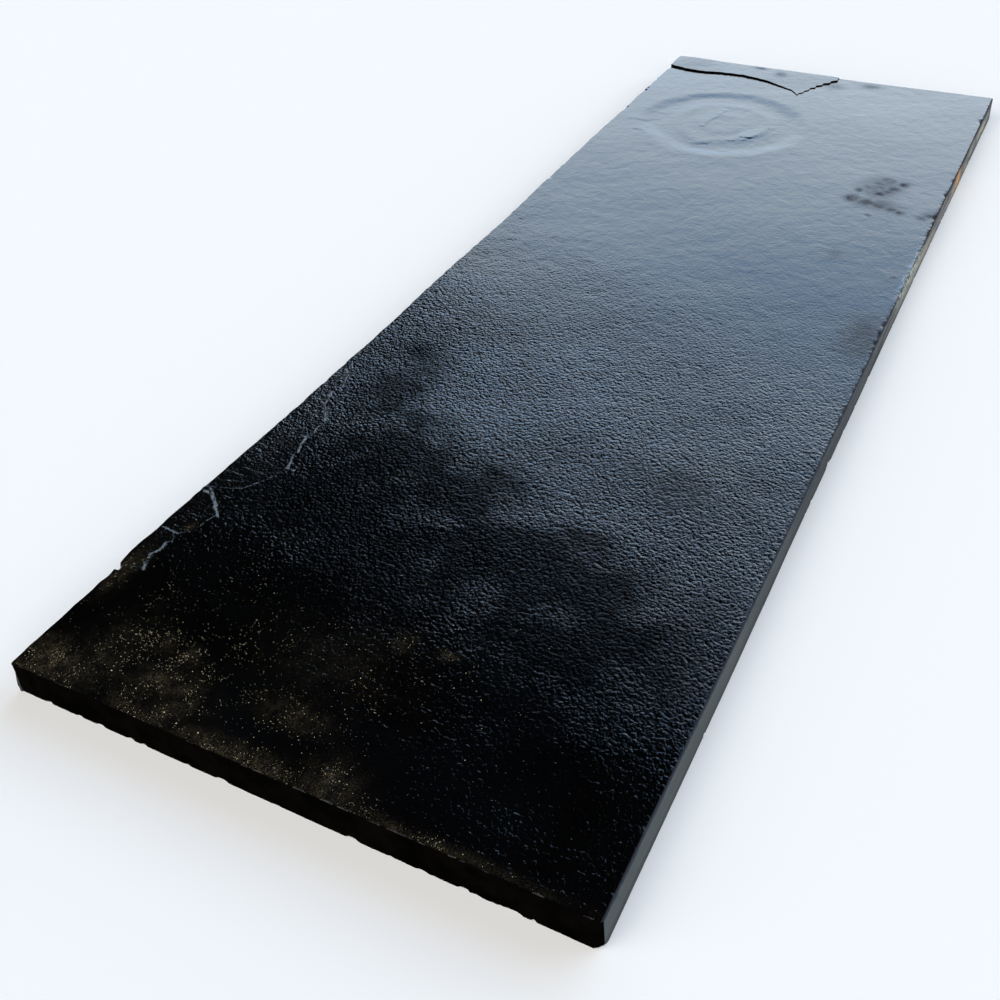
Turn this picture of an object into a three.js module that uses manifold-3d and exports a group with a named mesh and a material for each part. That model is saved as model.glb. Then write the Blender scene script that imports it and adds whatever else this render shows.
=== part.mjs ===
// A bluestone step tread: one slab of dense blue-grey stone, split along its bedding. Its top is the
// natural cleft face, with low swells, a round shallow ripple dish, a leaf of the next layer left
// standing at a far corner, and spalls along the back where thinner leaves let go. The front edge and
// both ends are sawn, and the back edge is trimmed by hand. The slab rests on a flat underside.
//
// Millimetres, +Z up. X runs along the tread from its near end (-X) to its far end (+X), and Y goes
// across it, from the sawn front edge (-Y) to the hand-trimmed back edge (+Y). The origin is the
// middle of the underside.
import * as THREE from "three";
import { mergeVertices } from "three/addons/utils/BufferGeometryUtils.js";
import Module from "manifold-3d";

// ---- Driving dimensions ----
const INCH = 25.4;
const LENGTH = 72 * INCH;
const WIDTH = 24 * INCH;
const THICKNESS = 1.5 * INCH;
const LEAF_THICKNESS = 3.4; // how far the standing leaf's top lies above the main face
const DISH_RADIUS = 153; // outer edge of the round ripple dish
const DISH_DEPTH = 1.5;

// ---- Mesh resolution ----
const CLEFT_CELL = 22; // side of a grid cell on the cleft face
const BACK_STATION = 27; // spacing of the facets along the hand-trimmed edge
const BACK_COURSES = 5; // rows of facets up the hand-trimmed edge
const OVERRUN = 14; // how far a cutter or a sheet runs past what it meets
const MERGE_DISTANCE = 1e-4;

// Places on the slab are given as distances from the near end and from the back edge.
const fromNear = (distance) => distance - LENGTH / 2;
const fromFar = (distance) => LENGTH / 2 - distance;
const fromBack = (distance) => WIDTH / 2 - distance;
const fromFront = (distance) => distance - WIDTH / 2;

// Low swells and hollows of the cleft face: [from near end, from back edge, radius, height].
const SWELLS = [
  [250, 420, 150, 0.5],
  [295, 345, 55, -1.0],
  [390, 380, 55, 1.0],
  [480, 220, 80, 2.0],
  [760, 60, 110, 1.3],
  [470, 470, 120, -0.3],
  [820, 330, 210, 0.8],
  [1090, 130, 170, -0.7],
  [1180, 480, 180, 0.7],
  [1790, 420, 130, -0.9],
];

// Slow waves over the whole face: [wavelength along X, wavelength along Y, phase, height].
const WAVES = [
  [610, 940, 0.4, 0.45],
  [270, -390, 1.9, 0.28],
  [143, 211, 4.1, 0.16],
];

// The standing leaf's edge, from the back edge to its tip and on to the far end:
// [from far end, from back edge].
const LEAF_EDGE = [
  [49, -OVERRUN],
  [62, 33],
  [65, 73],
  [58, 108],
  [57, 150],
  [64, 182],
  [72, 208],
  [87, 237],
  [98, 260],
  [121, 276],
  [89, 287],
  [59, 300],
  [39, 313],
  [20, 327],
  [-OVERRUN, 324],
];

// Where leaves have spalled off the back edge: each scar's inner edge as [from near end, from back
// edge], and how deep the scar lies at the inner edge and at the slab's edge.
const SPALLS = [
  {
    inner: [[153, 10], [157, 28], [172, 18], [203, 22], [230, 32], [240, 40], [260, 38], [273, 23], [294, 3]],
    depthInside: 0.7,
    depthAtEdge: 1.6,
  },
  {
    inner: [
      [294, 3], [303, 30], [327, 53], [360, 67], [373, 58], [420, 49], [453, 52], [470, 42], [490, 32],
      [548, 21], [587, 4],
    ],
    depthInside: 0.7,
    depthAtEdge: 1.6,
  },
];

// The back edge's line: [from near end, how far it lies inside the nominal width].
const BACK_LINE = [
  [0, 0], [140, 0.4], [176, -5.4], [230, -3.3], [340, -1.2], [550, 2.4], [690, 5.6], [870, 3.6],
  [1030, 4.6], [1180, 1.5], [1450, 0.3], [LENGTH, 0],
];

// The thin flake left standing in the floor of the dish: [from near end, from back edge].
const FLAKE = [
  [1483, 237], [1487, 253], [1500, 270], [1527, 280], [1541, 283], [1547, 272], [1538, 258], [1514, 241],
  [1497, 232],
];
const FLAKE_RISE = 0.7; // how far its near end stands above the low rings round it

const DISH_CENTRE = [fromNear(1531), fromBack(192)];

// ---- Solids ----
const wasm = await Module();
wasm.setup();

// A closed geometry as a solid that can be joined and cut.
function solidOf(geometry) {
  const bare = geometry.index ? geometry.toNonIndexed() : geometry.clone();
  bare.deleteAttribute("normal");
  bare.deleteAttribute("uv");
  const merged = mergeVertices(bare, MERGE_DISTANCE);
  return new wasm.Manifold(
    new wasm.Mesh({
      numProp: 3,
      vertProperties: merged.getAttribute("position").array,
      triVerts: new Uint32Array(merged.index.array),
    }),
  );
}

// A solid as a geometry, with the middle of its underside at the origin.
function geometryOf(solid) {
  const mesh = solid.getMesh();
  const geometry = new THREE.BufferGeometry();
  geometry.setAttribute("position", new THREE.BufferAttribute(mesh.vertProperties, mesh.numProp));
  geometry.setIndex(new THREE.BufferAttribute(mesh.triVerts, 1));
  geometry.computeBoundingBox();
  const box = geometry.boundingBox;
  geometry.translate(-(box.min.x + box.max.x) / 2, -(box.min.y + box.max.y) / 2, -box.min.z);
  geometry.computeVertexNormals();
  return geometry;
}

// Moves each vertex of a geometry by a rule that changes the point it is given.
function reshape(geometry, rule) {
  const positions = geometry.getAttribute("position");
  const point = new THREE.Vector3();
  for (let i = 0; i < positions.count; i += 1) {
    point.fromBufferAttribute(positions, i);
    rule(point);
    positions.setXYZ(i, point.x, point.y, point.z);
  }
  return geometry;
}

// A closed outline through plain points.
function outlineOf(points) {
  return new THREE.Shape(points.map(([x, y]) => new THREE.Vector2(x, y)));
}

// A repeatable source of numbers from 0 to 1.
function seededRandom(seed) {
  let state = seed;
  return () => {
    state = (state * 1664525 + 1013904223) % 4294967296;
    return state / 4294967296;
  };
}

// ---- The cleft face ----
// Height of the split face above its mean level.
function cleftSwell(x, y) {
  const waves = WAVES.reduce((sum, [alongX, alongY, phase, height]) => {
    const turns = x / alongX + y / alongY;
    return sum + height * Math.sin(2 * Math.PI * turns + phase);
  }, 0);
  return SWELLS.reduce((sum, [near, back, radius, height]) => {
    const distance = Math.hypot(x - fromNear(near), y - fromBack(back)) / radius;
    return sum + height * Math.exp(-distance * distance);
  }, waves);
}

// A sheet of stone a little larger than the slab, whose top follows a height rule.
function sheet(topAt) {
  const length = LENGTH + 2 * OVERRUN;
  const width = WIDTH + 2 * OVERRUN;
  const depth = 2 * OVERRUN;
  const geometry = new THREE.BoxGeometry(
    length,
    width,
    THICKNESS + depth,
    Math.round(length / CLEFT_CELL),
    Math.round(width / CLEFT_CELL),
    1,
  );
  return solidOf(
    reshape(geometry, (point) => {
      point.z = point.z > 0 ? topAt(point.x, point.y) : -depth;
    }),
  );
}

// The main bed, up to the cleft face.
function bed() {
  return sheet((x, y) => THICKNESS + cleftSwell(x, y));
}

// The leaf of the next layer that still stands on the far back corner. It thickens towards the corner
// and thins to its tip, and its broken edge leans back.
function standingLeaf() {
  const cornerRise = 1.9;
  const tipFall = 1.9;
  const fade = (x, y, far, back, radius) => {
    const distance = Math.hypot(x - fromFar(far), y - fromBack(back)) / radius;
    return Math.exp(-distance * distance);
  };
  const top = sheet((x, y) => {
    const corner = cornerRise * fade(x, y, 0, 32, 50);
    const tip = tipFall * fade(x, y, 121, 276, 60);
    return THICKNESS + LEAF_THICKNESS + corner - tip;
  });
  const edge = LEAF_EDGE.map(([far, back]) => [fromFar(far), fromBack(back)]);
  const corner = [fromFar(-OVERRUN), fromBack(-OVERRUN)];
  const foot = 1;
  const lean = 3;
  const prism = new THREE.ExtrudeGeometry(outlineOf([...edge, corner].reverse()), {
    depth: foot,
    bevelThickness: LEAF_THICKNESS + cornerRise + foot,
    bevelSize: lean,
    bevelOffset: -lean,
    bevelSegments: 1,
  });
  prism.translate(0, 0, THICKNESS - 2 * foot);
  return top.intersect(solidOf(prism));
}

// The round dish of the ripple mark: a floor with two low rings, and a sloped rim.
function dishCutter() {
  const clear = THICKNESS + OVERRUN;
  const floor = THICKNESS - DISH_DEPTH;
  const ring = 0.45;
  const profile = [
    [0, floor + ring],
    [0.22 * DISH_RADIUS, floor + ring],
    [0.36 * DISH_RADIUS, floor],
    [0.52 * DISH_RADIUS, floor + ring],
    [0.72 * DISH_RADIUS, floor - ring],
    [0.82 * DISH_RADIUS, floor],
    [DISH_RADIUS, THICKNESS + ring],
    [DISH_RADIUS, clear],
    [0, clear],
  ];
  const sides = 40;
  const lathe = new THREE.LatheGeometry(
    profile.map(([radius, height]) => new THREE.Vector2(radius, height)),
    sides,
  );
  lathe.rotateX(Math.PI / 2);
  lathe.translate(DISH_CENTRE[0], DISH_CENTRE[1], 0);
  return solidOf(lathe);
}

// The thin flake left standing in the floor of the dish, thinning to nothing at its far end.
function standingFlake() {
  const ring = 0.45;
  const nears = FLAKE.map(([near]) => near);
  const start = fromNear(Math.min(...nears));
  const stop = fromNear(Math.max(...nears));
  const outline = outlineOf(FLAKE.map(([near, back]) => [fromNear(near), fromBack(back)]).reverse());
  const prism = new THREE.ExtrudeGeometry(outline, { depth: DISH_DEPTH, bevelEnabled: false });
  return solidOf(
    reshape(prism, (point) => {
      const floor = THICKNESS - DISH_DEPTH;
      const rise = THREE.MathUtils.mapLinear(point.x, start, stop, FLAKE_RISE, 0);
      point.z = point.z > 0 ? floor + ring + rise : floor - DISH_DEPTH;
    }),
  );
}

// ---- The edges ----
// How far the hand-trimmed face lies inside the nominal width, at a distance from the near end.
const backLine = new THREE.SplineCurve(BACK_LINE.map(([near, inset]) => new THREE.Vector2(near, inset)));

function backInset(near) {
  const line = backLine.getPoints(4 * BACK_LINE.length);
  const next = Math.max(1, line.findIndex((point) => point.x >= near));
  const from = line[next - 1];
  const to = line[next];
  return THREE.MathUtils.mapLinear(near, from.x, to.x, from.y, to.y);
}

// The trimming chisel left shallow scallops, deepest low down, and undercut the foot a little.
function scallop(near, z) {
  const depthShare = THREE.MathUtils.clamp(1 - z / THICKNESS, 0, 1);
  const bite = Math.abs(Math.sin(near / 29 + 1.4 * Math.sin(near / 83)));
  const grain = Math.sin(near / 11 + z / 3.1);
  return depthShare * (2.6 * bite + 0.5 * grain);
}

// The slab's plan outline run up past the leaf: three sawn faces and the hand-trimmed one.
function trimmedOutline() {
  const stations = Math.round(LENGTH / BACK_STATION);
  const back = Array.from({ length: stations + 1 }, (_, i) => {
    const near = LENGTH * (1 - i / stations);
    return [fromNear(near), fromBack(backInset(near))];
  });
  const front = [
    [fromNear(0), fromFront(0)],
    [fromFar(0), fromFront(0)],
  ];
  const height = THICKNESS + 2 * LEAF_THICKNESS + OVERRUN;
  const block = new THREE.ExtrudeGeometry(outlineOf([...front, ...back]), {
    depth: height,
    steps: BACK_COURSES,
    bevelEnabled: false,
  });
  return solidOf(
    reshape(block, (point) => {
      const onFront = point.y < 0;
      const atEnd = Math.abs(point.x) > LENGTH / 2 - 1;
      // Courses share out the slab's own thickness, and the last one clears the leaf.
      const course = Math.round((point.z / height) * BACK_COURSES);
      point.z = course < BACK_COURSES ? (course / (BACK_COURSES - 1)) * THICKNESS : height;
      if (!onFront && !atEnd) point.y -= scallop(point.x + LENGTH / 2, point.z);
    }),
  );
}

// A spall's cutter: its floor falls from the scar's inner edge to the slab's own edge.
function spallCutter({ inner, depthInside, depthAtEdge }) {
  const first = inner[0];
  const last = inner[inner.length - 1];
  const points = [[first[0] - 2, -OVERRUN], ...inner, [last[0] + 2, -OVERRUN]];
  const outline = outlineOf(points.map(([near, back]) => [fromNear(near), fromBack(back)]).reverse());
  const prism = new THREE.ExtrudeGeometry(outline, { depth: OVERRUN, bevelEnabled: false });
  const reach = Math.max(...inner.map(([, back]) => back));
  return solidOf(
    reshape(prism, (point) => {
      const share = fromBack(0) - point.y;
      const depth = THREE.MathUtils.mapLinear(share, reach, 0, depthInside, depthAtEdge);
      point.z = point.z > 0 ? THICKNESS + OVERRUN : THICKNESS - depth;
    }),
  );
}

// One chip's cutter: a rough stone-shaped lump centred on an arris.
function chipCutter(x, y, z, size, turn) {
  const lump = new THREE.IcosahedronGeometry(1, 0);
  lump.rotateZ(turn);
  lump.rotateX(2 * turn);
  lump.scale(size[0], size[1], size[2]);
  lump.translate(x, y, z);
  return solidOf(lump);
}

// Chips along the front edge's top arris, closer together towards the far end.
function topArrisChips() {
  const random = seededRandom(41);
  const count = 44;
  return Array.from({ length: count }, (_, i) => {
    const share = Math.pow((i + 0.2 + 0.6 * random()) / count, 0.7);
    const length = 3 + 7 * random();
    const depth = 1.2 + 2.2 * random();
    const drop = 1 + 2 * random();
    const x = fromNear(share * LENGTH);
    return chipCutter(x, fromFront(0), THICKNESS + 0.6, [length, depth, drop], 6 * random());
  });
}

// A few chips on the front edge's bottom arris: [from near end, half length, depth].
const FOOT_CHIPS = [
  [231, 9, 1.8],
  [668, 14, 2.2],
  [742, 7, 1.6],
  [1612, 10, 2.0],
  [1734, 8, 2.4],
];

function footChips() {
  return FOOT_CHIPS.map(([near, length, depth], i) =>
    chipCutter(fromNear(near), fromFront(0), 0, [length, depth, 1.5 * depth], i),
  );
}

// The near front corner has lost its foot.
function cornerBreak() {
  const size = [9, 7, 11];
  return chipCutter(fromNear(0), fromFront(0), 1, size, 0.5);
}

// A nick where the two spalls begin on the back edge.
function backNick() {
  const size = [5, 4, 6];
  return chipCutter(fromNear(150), fromBack(1), THICKNESS, size, 1.1);
}

// ---- The stone ----
const cutters = [
  dishCutter(),
  ...SPALLS.map(spallCutter),
  ...topArrisChips(),
  ...footChips(),
  cornerBreak(),
  backNick(),
];
const split = bed().add(standingLeaf()).intersect(trimmedOutline());
const stone = cutters.reduce((left, cutter) => left.subtract(cutter), split).add(standingFlake());

const material = new THREE.MeshStandardMaterial({ color: 0x23262b, roughness: 0.42, metalness: 0 });
const tread = new THREE.Mesh(geometryOf(stone), material);
tread.name = "tread";

const group = new THREE.Group();
group.add(tread);

export default group;
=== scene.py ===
"""A bluestone step tread: one slab of dark, sealed stone with a natural cleft face.

The slab is one piece of stone, so it is one mesh. Its top follows the way the stone split: low swells,
a round ripple dish, a leaf of the next layer left on the far back corner, and spalls along the back
edge. The front edge and both ends are sawn, the back edge is trimmed by hand, and the arrises are
chipped. Lengths are in metres. X runs along the tread, Y across it to the back edge, and Z up.
"""

import logging
import math
from dataclasses import dataclass, field, replace
from enum import Enum
from typing import Any, Sequence

import bpy
import numpy as np
from mathutils import Matrix, Vector
from mathutils.geometry import delaunay_2d_cdt
from mathutils.kdtree import KDTree


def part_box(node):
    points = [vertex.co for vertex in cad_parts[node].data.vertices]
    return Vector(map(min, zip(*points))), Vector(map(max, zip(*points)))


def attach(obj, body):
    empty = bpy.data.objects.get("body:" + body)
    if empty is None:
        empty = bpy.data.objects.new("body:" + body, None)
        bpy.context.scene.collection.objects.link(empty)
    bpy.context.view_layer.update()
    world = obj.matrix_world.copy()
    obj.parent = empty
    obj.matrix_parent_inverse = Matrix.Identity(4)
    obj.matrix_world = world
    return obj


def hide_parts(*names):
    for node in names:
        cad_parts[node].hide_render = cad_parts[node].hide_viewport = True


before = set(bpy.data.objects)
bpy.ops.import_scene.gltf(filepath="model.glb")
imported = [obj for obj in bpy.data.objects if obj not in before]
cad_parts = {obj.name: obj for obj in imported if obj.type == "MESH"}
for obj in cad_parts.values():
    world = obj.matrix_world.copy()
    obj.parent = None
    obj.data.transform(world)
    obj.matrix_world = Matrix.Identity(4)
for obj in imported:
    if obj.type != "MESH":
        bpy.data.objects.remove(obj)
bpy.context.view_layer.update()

LOG = logging.getLogger("tread")
NODE = "tread"

LINE_STEP = 0.003  # between the points of a break
SECOND_DRAW = 7.7  # where the noise for a second axis is read
BESIDE_LEAST = 0.7  # share of its distance that a line beside another keeps everywhere
BLUNT = 4.0  # power that makes a patch level in its middle
NO_LENGTH = 1e-9
MERGED = 1e-7  # points closer than this become one
ON_RING = 1e-6  # deeper than this is inside the ring

Array = np.ndarray
Place = tuple[float, float]  # from the near end, and from the back edge
Range = tuple[float, float]
Fade = tuple[float, float, float, float]  # from one value to another, and the results there
Grain = tuple[float, float, float]  # features in a metre, finer layers, and bend
Point = tuple[float, float, float]
Colour = tuple[float, float, float, float]


class Side(Enum):
    """The faces of the slab, in the order of its material slots."""

    CLEFT = 0
    SAWN = 1
    END = 2
    TRIMMED = 3
    UNDERSIDE = 4
    # the leaf's riser, whose near-black finish is painted shade
    RISER_SHADE = 5


class Mark(Enum):
    """Marks on the stone, each held as a number from 0 to 1 at every point of the mesh."""

    DUST = "dust"
    GRIT = "grit"
    STAIN = "stain"
    MATT = "matt"
    SCAR = "scar"
    BRUISE = "bruise"
    RUST = "rust"


# ---------------- numbers over the slab


def ease(share: Array) -> Array:
    """Smooth step from 0 to 1, held outside that range."""
    held = np.clip(share, 0.0, 1.0)
    return held * held * (3.0 - 2.0 * held)


def eased_path(value: Array, stations: Sequence[Place]) -> Array:
    """Follows stations with a smooth step between each pair.

    Args:
        value: Where to read the path.
        stations: Pairs of (where, height), in rising order of where.

    Returns:
        The height at each value.
    """
    result = np.full_like(value, stations[0][1])
    for (start, low), (stop, high) in zip(stations[:-1], stations[1:]):
        result += (high - low) * ease((value - start) / (stop - start))
    return result


class SmoothNoise:
    """Seeded smooth noise over a plane, from -1 to 1."""

    first_height = 0.62
    next_height = 0.5
    next_cell = 0.49
    next_turn = 0.9

    def __init__(self, seed: int, size: int = 211) -> None:
        """Draws the lattice of values.

        Args:
            seed: The seed, so that each run gives the same stone.
            size: Lattice points each way before the noise repeats.
        """
        self.size = size
        self.lattice = np.random.default_rng(seed).uniform(-1.0, 1.0, (size, size))

    def at(self, u: Array, v: Array, cell: float) -> Array:
        """Reads one layer of noise.

        Args:
            u: First coordinate of each point.
            v: Second coordinate of each point.
            cell: Size of a lattice cell.

        Returns:
            A value from -1 to 1 for each point.
        """
        column, row = np.floor(u / cell), np.floor(v / cell)
        across, up = ease(u / cell - column), ease(v / cell - row)
        i0, j0 = column.astype(int) % self.size, row.astype(int) % self.size
        i1, j1 = (i0 + 1) % self.size, (j0 + 1) % self.size
        low = self.lattice[i0, j0] * (1.0 - across) + self.lattice[i1, j0] * across
        high = self.lattice[i0, j1] * (1.0 - across) + self.lattice[i1, j1] * across
        return low * (1.0 - up) + high * up

    def layered(self, u: Array, v: Array, cell: float, layers: int = 3) -> Array:
        """Adds finer layers of noise, each turned and lower than the one before.

        Args:
            u: First coordinate of each point.
            v: Second coordinate of each point.
            cell: Size of the coarsest lattice cell.
            layers: How many layers to add.

        Returns:
            The sum for each point, from about -1 to 1.
        """
        total, height, turn = np.zeros_like(u), self.first_height, 0.0
        for _ in range(layers):
            cosine, sine = math.cos(turn), math.sin(turn)
            total += height * self.at(u * cosine - v * sine, u * sine + v * cosine, cell)
            height, turn, cell = self.next_height * height, turn + self.next_turn, self.next_cell * cell
        return total


def along_line(points: Sequence[Place], step: float, closed: bool = False) -> Array:
    """Spaces points evenly along a line of straight runs.

    Args:
        points: The corners of the line.
        step: The distance to aim for between points.
        closed: True to run back to the first corner.

    Returns:
        The points, one a row, with every corner kept.
    """
    corners = np.array([*points, points[0]] if closed else points, float)
    spaced = []
    for start, stop in zip(corners[:-1], corners[1:]):
        count = max(1, round(float(np.linalg.norm(stop - start)) / step))
        spaced.append(start + (stop - start) * np.linspace(0.0, 1.0, count, endpoint=False)[:, None])
    if not closed:
        spaced.append(corners[-1:])
    return np.concatenate(spaced)


def ragged(line: Array, throw: float, cell: float, seed: int) -> Array:
    """Roughens a line as a break in stone is rough.

    Args:
        line: Points of the line, one a row.
        throw: How far a point may move.
        cell: How long the teeth are.
        seed: Seed of the teeth.

    Returns:
        The moved points.
    """
    noise = SmoothNoise(seed)
    u, v = line.T
    shift = [noise.layered(u + offset, v - offset, cell, 2) for offset in (0.0, SECOND_DRAW)]
    return line + throw * np.stack(shift, axis=1)


def line_distance(place: Array, line: Array) -> tuple[Array, Array]:
    """Measures how far points lie from an open line.

    Args:
        place: The points, one a row.
        line: The line's points, one a row.

    Returns:
        The distance of each point, and on which side of the line it lies: 1 on its left, -1 on its
        right and 0 beyond its ends.
    """
    nearest = np.full(len(place), np.inf)
    side = np.zeros(len(place))
    last = len(line) - 2
    for index, (start, stop) in enumerate(zip(line[:-1], line[1:])):
        run = stop - start
        share = ((place - start) @ run) / float(run @ run)
        held = np.clip(share, 0.0, 1.0)
        away = place - start - held[:, None] * run
        distance = np.hypot(away[:, 0], away[:, 1])
        turn = np.sign(run[0] * (place[:, 1] - start[1]) - run[1] * (place[:, 0] - start[0]))
        beyond = ((index == 0) & (share < 0.0)) | ((index == last) & (share > 1.0))
        closer = distance < nearest
        side = np.where(closer, np.where(beyond, 0.0, turn), side)
        nearest = np.where(closer, distance, nearest)
    return nearest, side


def depth_inside(place: Array, outline: Array) -> Array:
    """Measures how deep points lie inside a closed outline.

    Args:
        place: The points, one a row.
        outline: The outline's points, one a row.

    Returns:
        The distance to the outline, below 0 for points outside it.
    """
    nearest = np.full(len(place), np.inf)
    inside = np.zeros(len(place), bool)
    x, y = place.T
    for start, stop in zip(outline, np.roll(outline, -1, axis=0)):
        run = stop - start
        share = np.clip(((place - start) @ run) / max(float(run @ run), NO_LENGTH**2), 0.0, 1.0)
        away = place - start - share[:, None] * run
        nearest = np.minimum(nearest, np.hypot(away[:, 0], away[:, 1]))
        if start[1] == stop[1]:
            continue
        crosses = (start[1] > y) != (stop[1] > y)
        inside ^= crosses & (x < run[0] * (y - start[1]) / run[1] + start[0])
    return np.where(inside, nearest, -nearest)


# ---------------- where things lie on the slab


@dataclass(frozen=True)
class SlabPlan:
    """The slab's place and size in the row frame.

    Places on it are given as (from the near end, from the back edge).
    """

    near_x: float
    front_y: float
    length: float = 1.8288
    width: float = 0.6096
    thickness: float = 0.0381

    @property
    def far_x(self) -> float:
        """X of the far end."""
        return self.near_x + self.length

    @property
    def back_y(self) -> float:
        """Y of the back edge's nominal line."""
        return self.front_y + self.width

    def place(self, points: Array) -> Array:
        """Turns X and Y into distances from the near end and the back edge, one point a row."""
        return np.stack([points[:, 0] - self.near_x, self.back_y - points[:, 1]], axis=1)

    def point(self, place: Array) -> Array:
        """Turns distances from the near end and the back edge into X and Y, one point a row."""
        return np.stack([self.near_x + place[:, 0], self.back_y - place[:, 1]], axis=1)


@dataclass(frozen=True)
class Blotch:
    """A soft-edged patch on the slab, round or long."""

    near: float
    back: float
    along: float
    across: float
    strength: float = 1.0
    turn: float = 0.0
    sharp: float = 1.0
    hollow: float = 0.0
    hollow_reach: float = 0.55

    def cover(self, place: Array) -> Array:
        """Works out how much of the patch is at each point.

        Args:
            place: The places on the slab.

        Returns:
            A number from 0 to the patch's strength for each point.
        """
        u, v = place[:, 0] - self.near, place[:, 1] - self.back
        cosine, sine = math.cos(self.turn), math.sin(self.turn)
        reach = np.hypot((u * cosine + v * sine) / self.along, (v * cosine - u * sine) / self.across)
        full = np.exp(-np.power(reach, 2.0 * self.sharp))
        middle = np.exp(-np.power(reach / self.hollow_reach, BLUNT))
        return self.strength * full * (1.0 - self.hollow * middle)


@dataclass(frozen=True)
class Mound:
    """A low round swell, or a hollow where its height is below 0."""

    near: float
    back: float
    radius: float
    height: float

    def rise(self, place: Array) -> Array:
        """How far the swell lifts each point, given from the near end and the back edge."""
        reach = np.hypot(place[:, 0] - self.near, place[:, 1] - self.back) / self.radius
        return self.height * np.exp(-np.square(reach))


@dataclass(frozen=True)
class Wave:
    """A slow wave over the whole face."""

    along: float
    across: float
    phase: float
    height: float


@dataclass
class RippleDish:
    """The round, shallow dish of a ripple mark, with low rings in its floor."""

    centre: Place = (1.531, 0.192)
    radius: float = 0.153
    rings: Sequence[Place] = (
        (0.000, -0.00120), (0.034, -0.00100), (0.058, -0.00128), (0.080, -0.00104),
        (0.104, -0.00160), (0.116, -0.00168), (0.153, 0.00012), (0.182, 0.00000),
    )
    wander: float = 0.008
    wander_cell: float = 0.06
    flat_edge: float = 1.12
    flat_fall: float = 0.3
    kept_bed: float = 0.35

    def radius_at(self, place: Array) -> Array:
        """Distance of each point from the dish's centre."""
        return np.hypot(place[:, 0] - self.centre[0], place[:, 1] - self.centre[1])

    def press(self, place: Array, bed: Array, noise: SmoothNoise) -> Array:
        """Presses the dish into the bed.

        Args:
            place: The places on the slab.
            bed: Height of the bed at each point, from the slab's nominal thickness.
            noise: Noise that makes the rings wander.

        Returns:
            The new height of each point.
        """
        wander = self.wander * noise.layered(*place.T, self.wander_cell)
        reach = self.radius_at(place) + wander
        floor = eased_path(reach, self.rings)
        share = ease((self.flat_edge * self.radius - reach) / (self.flat_fall * self.radius))
        return bed * (1.0 - share) + (self.kept_bed * bed + floor) * share + floor * (1.0 - share)


@dataclass
class StandingLeaf:
    """The leaf of the next layer left on the far back corner."""

    slab_length: float
    thickness: float = 0.0028
    corner_rise: float = 0.0022
    corner_radius: float = 0.05
    corner_back: float = 0.032
    tip_fall: float = 0.0015
    tip: Place = (0.110, 0.284)
    tip_radius: float = 0.075
    riser: float = 0.0007
    overrun: float = 0.014
    tooth: float = 0.0014
    tooth_length: float = 0.009
    seed: int = 5
    edge: Sequence[Place] = (
        (0.049, -0.014), (0.062, 0.033), (0.065, 0.073), (0.058, 0.108), (0.057, 0.150),
        (0.064, 0.182), (0.072, 0.208), (0.087, 0.237), (0.098, 0.260), (0.121, 0.276),
        (0.110, 0.2772), (0.103, 0.2838), (0.093, 0.2835), (0.087, 0.2895), (0.076, 0.2900),
        (0.069, 0.2975), (0.060, 0.2970), (0.052, 0.3060), (0.043, 0.3068), (0.036, 0.3165),
        (0.026, 0.3180), (0.018, 0.3275), (-0.014, 0.3240),
    )
    outline: Array = field(init=False)
    break_line: Array = field(init=False)

    def __post_init__(self) -> None:
        """Lays out the broken edge, with its teeth."""
        line = along_line([(self.slab_length - far, back) for far, back in self.edge], LINE_STEP)
        self.break_line = ragged(line, self.tooth, self.tooth_length, self.seed)
        corner = np.array([[self.slab_length + self.overrun, -self.overrun]])
        self.outline = np.concatenate([self.break_line, corner])

    def depth(self, place: Array) -> Array:
        """How deep each point lies inside the leaf's outline, below 0 outside it."""
        return depth_inside(place, self.outline)

    def height(self, place: Array) -> Array:
        """Works out how far the leaf's top stands above the bed.

        Args:
            place: The places on the slab.

        Returns:
            The height of each point above the bed, 0 outside the leaf.
        """
        to_corner = np.hypot(place[:, 0] - self.slab_length, place[:, 1] - self.corner_back)
        to_tip = np.hypot(place[:, 0] - self.slab_length + self.tip[0], place[:, 1] - self.tip[1])
        rise = self.corner_rise * np.exp(-np.square(to_corner / self.corner_radius))
        fall = self.tip_fall * np.exp(-np.square(to_tip / self.tip_radius))
        return (self.thickness + rise - fall) * ease(self.depth(place) / self.riser)


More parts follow.
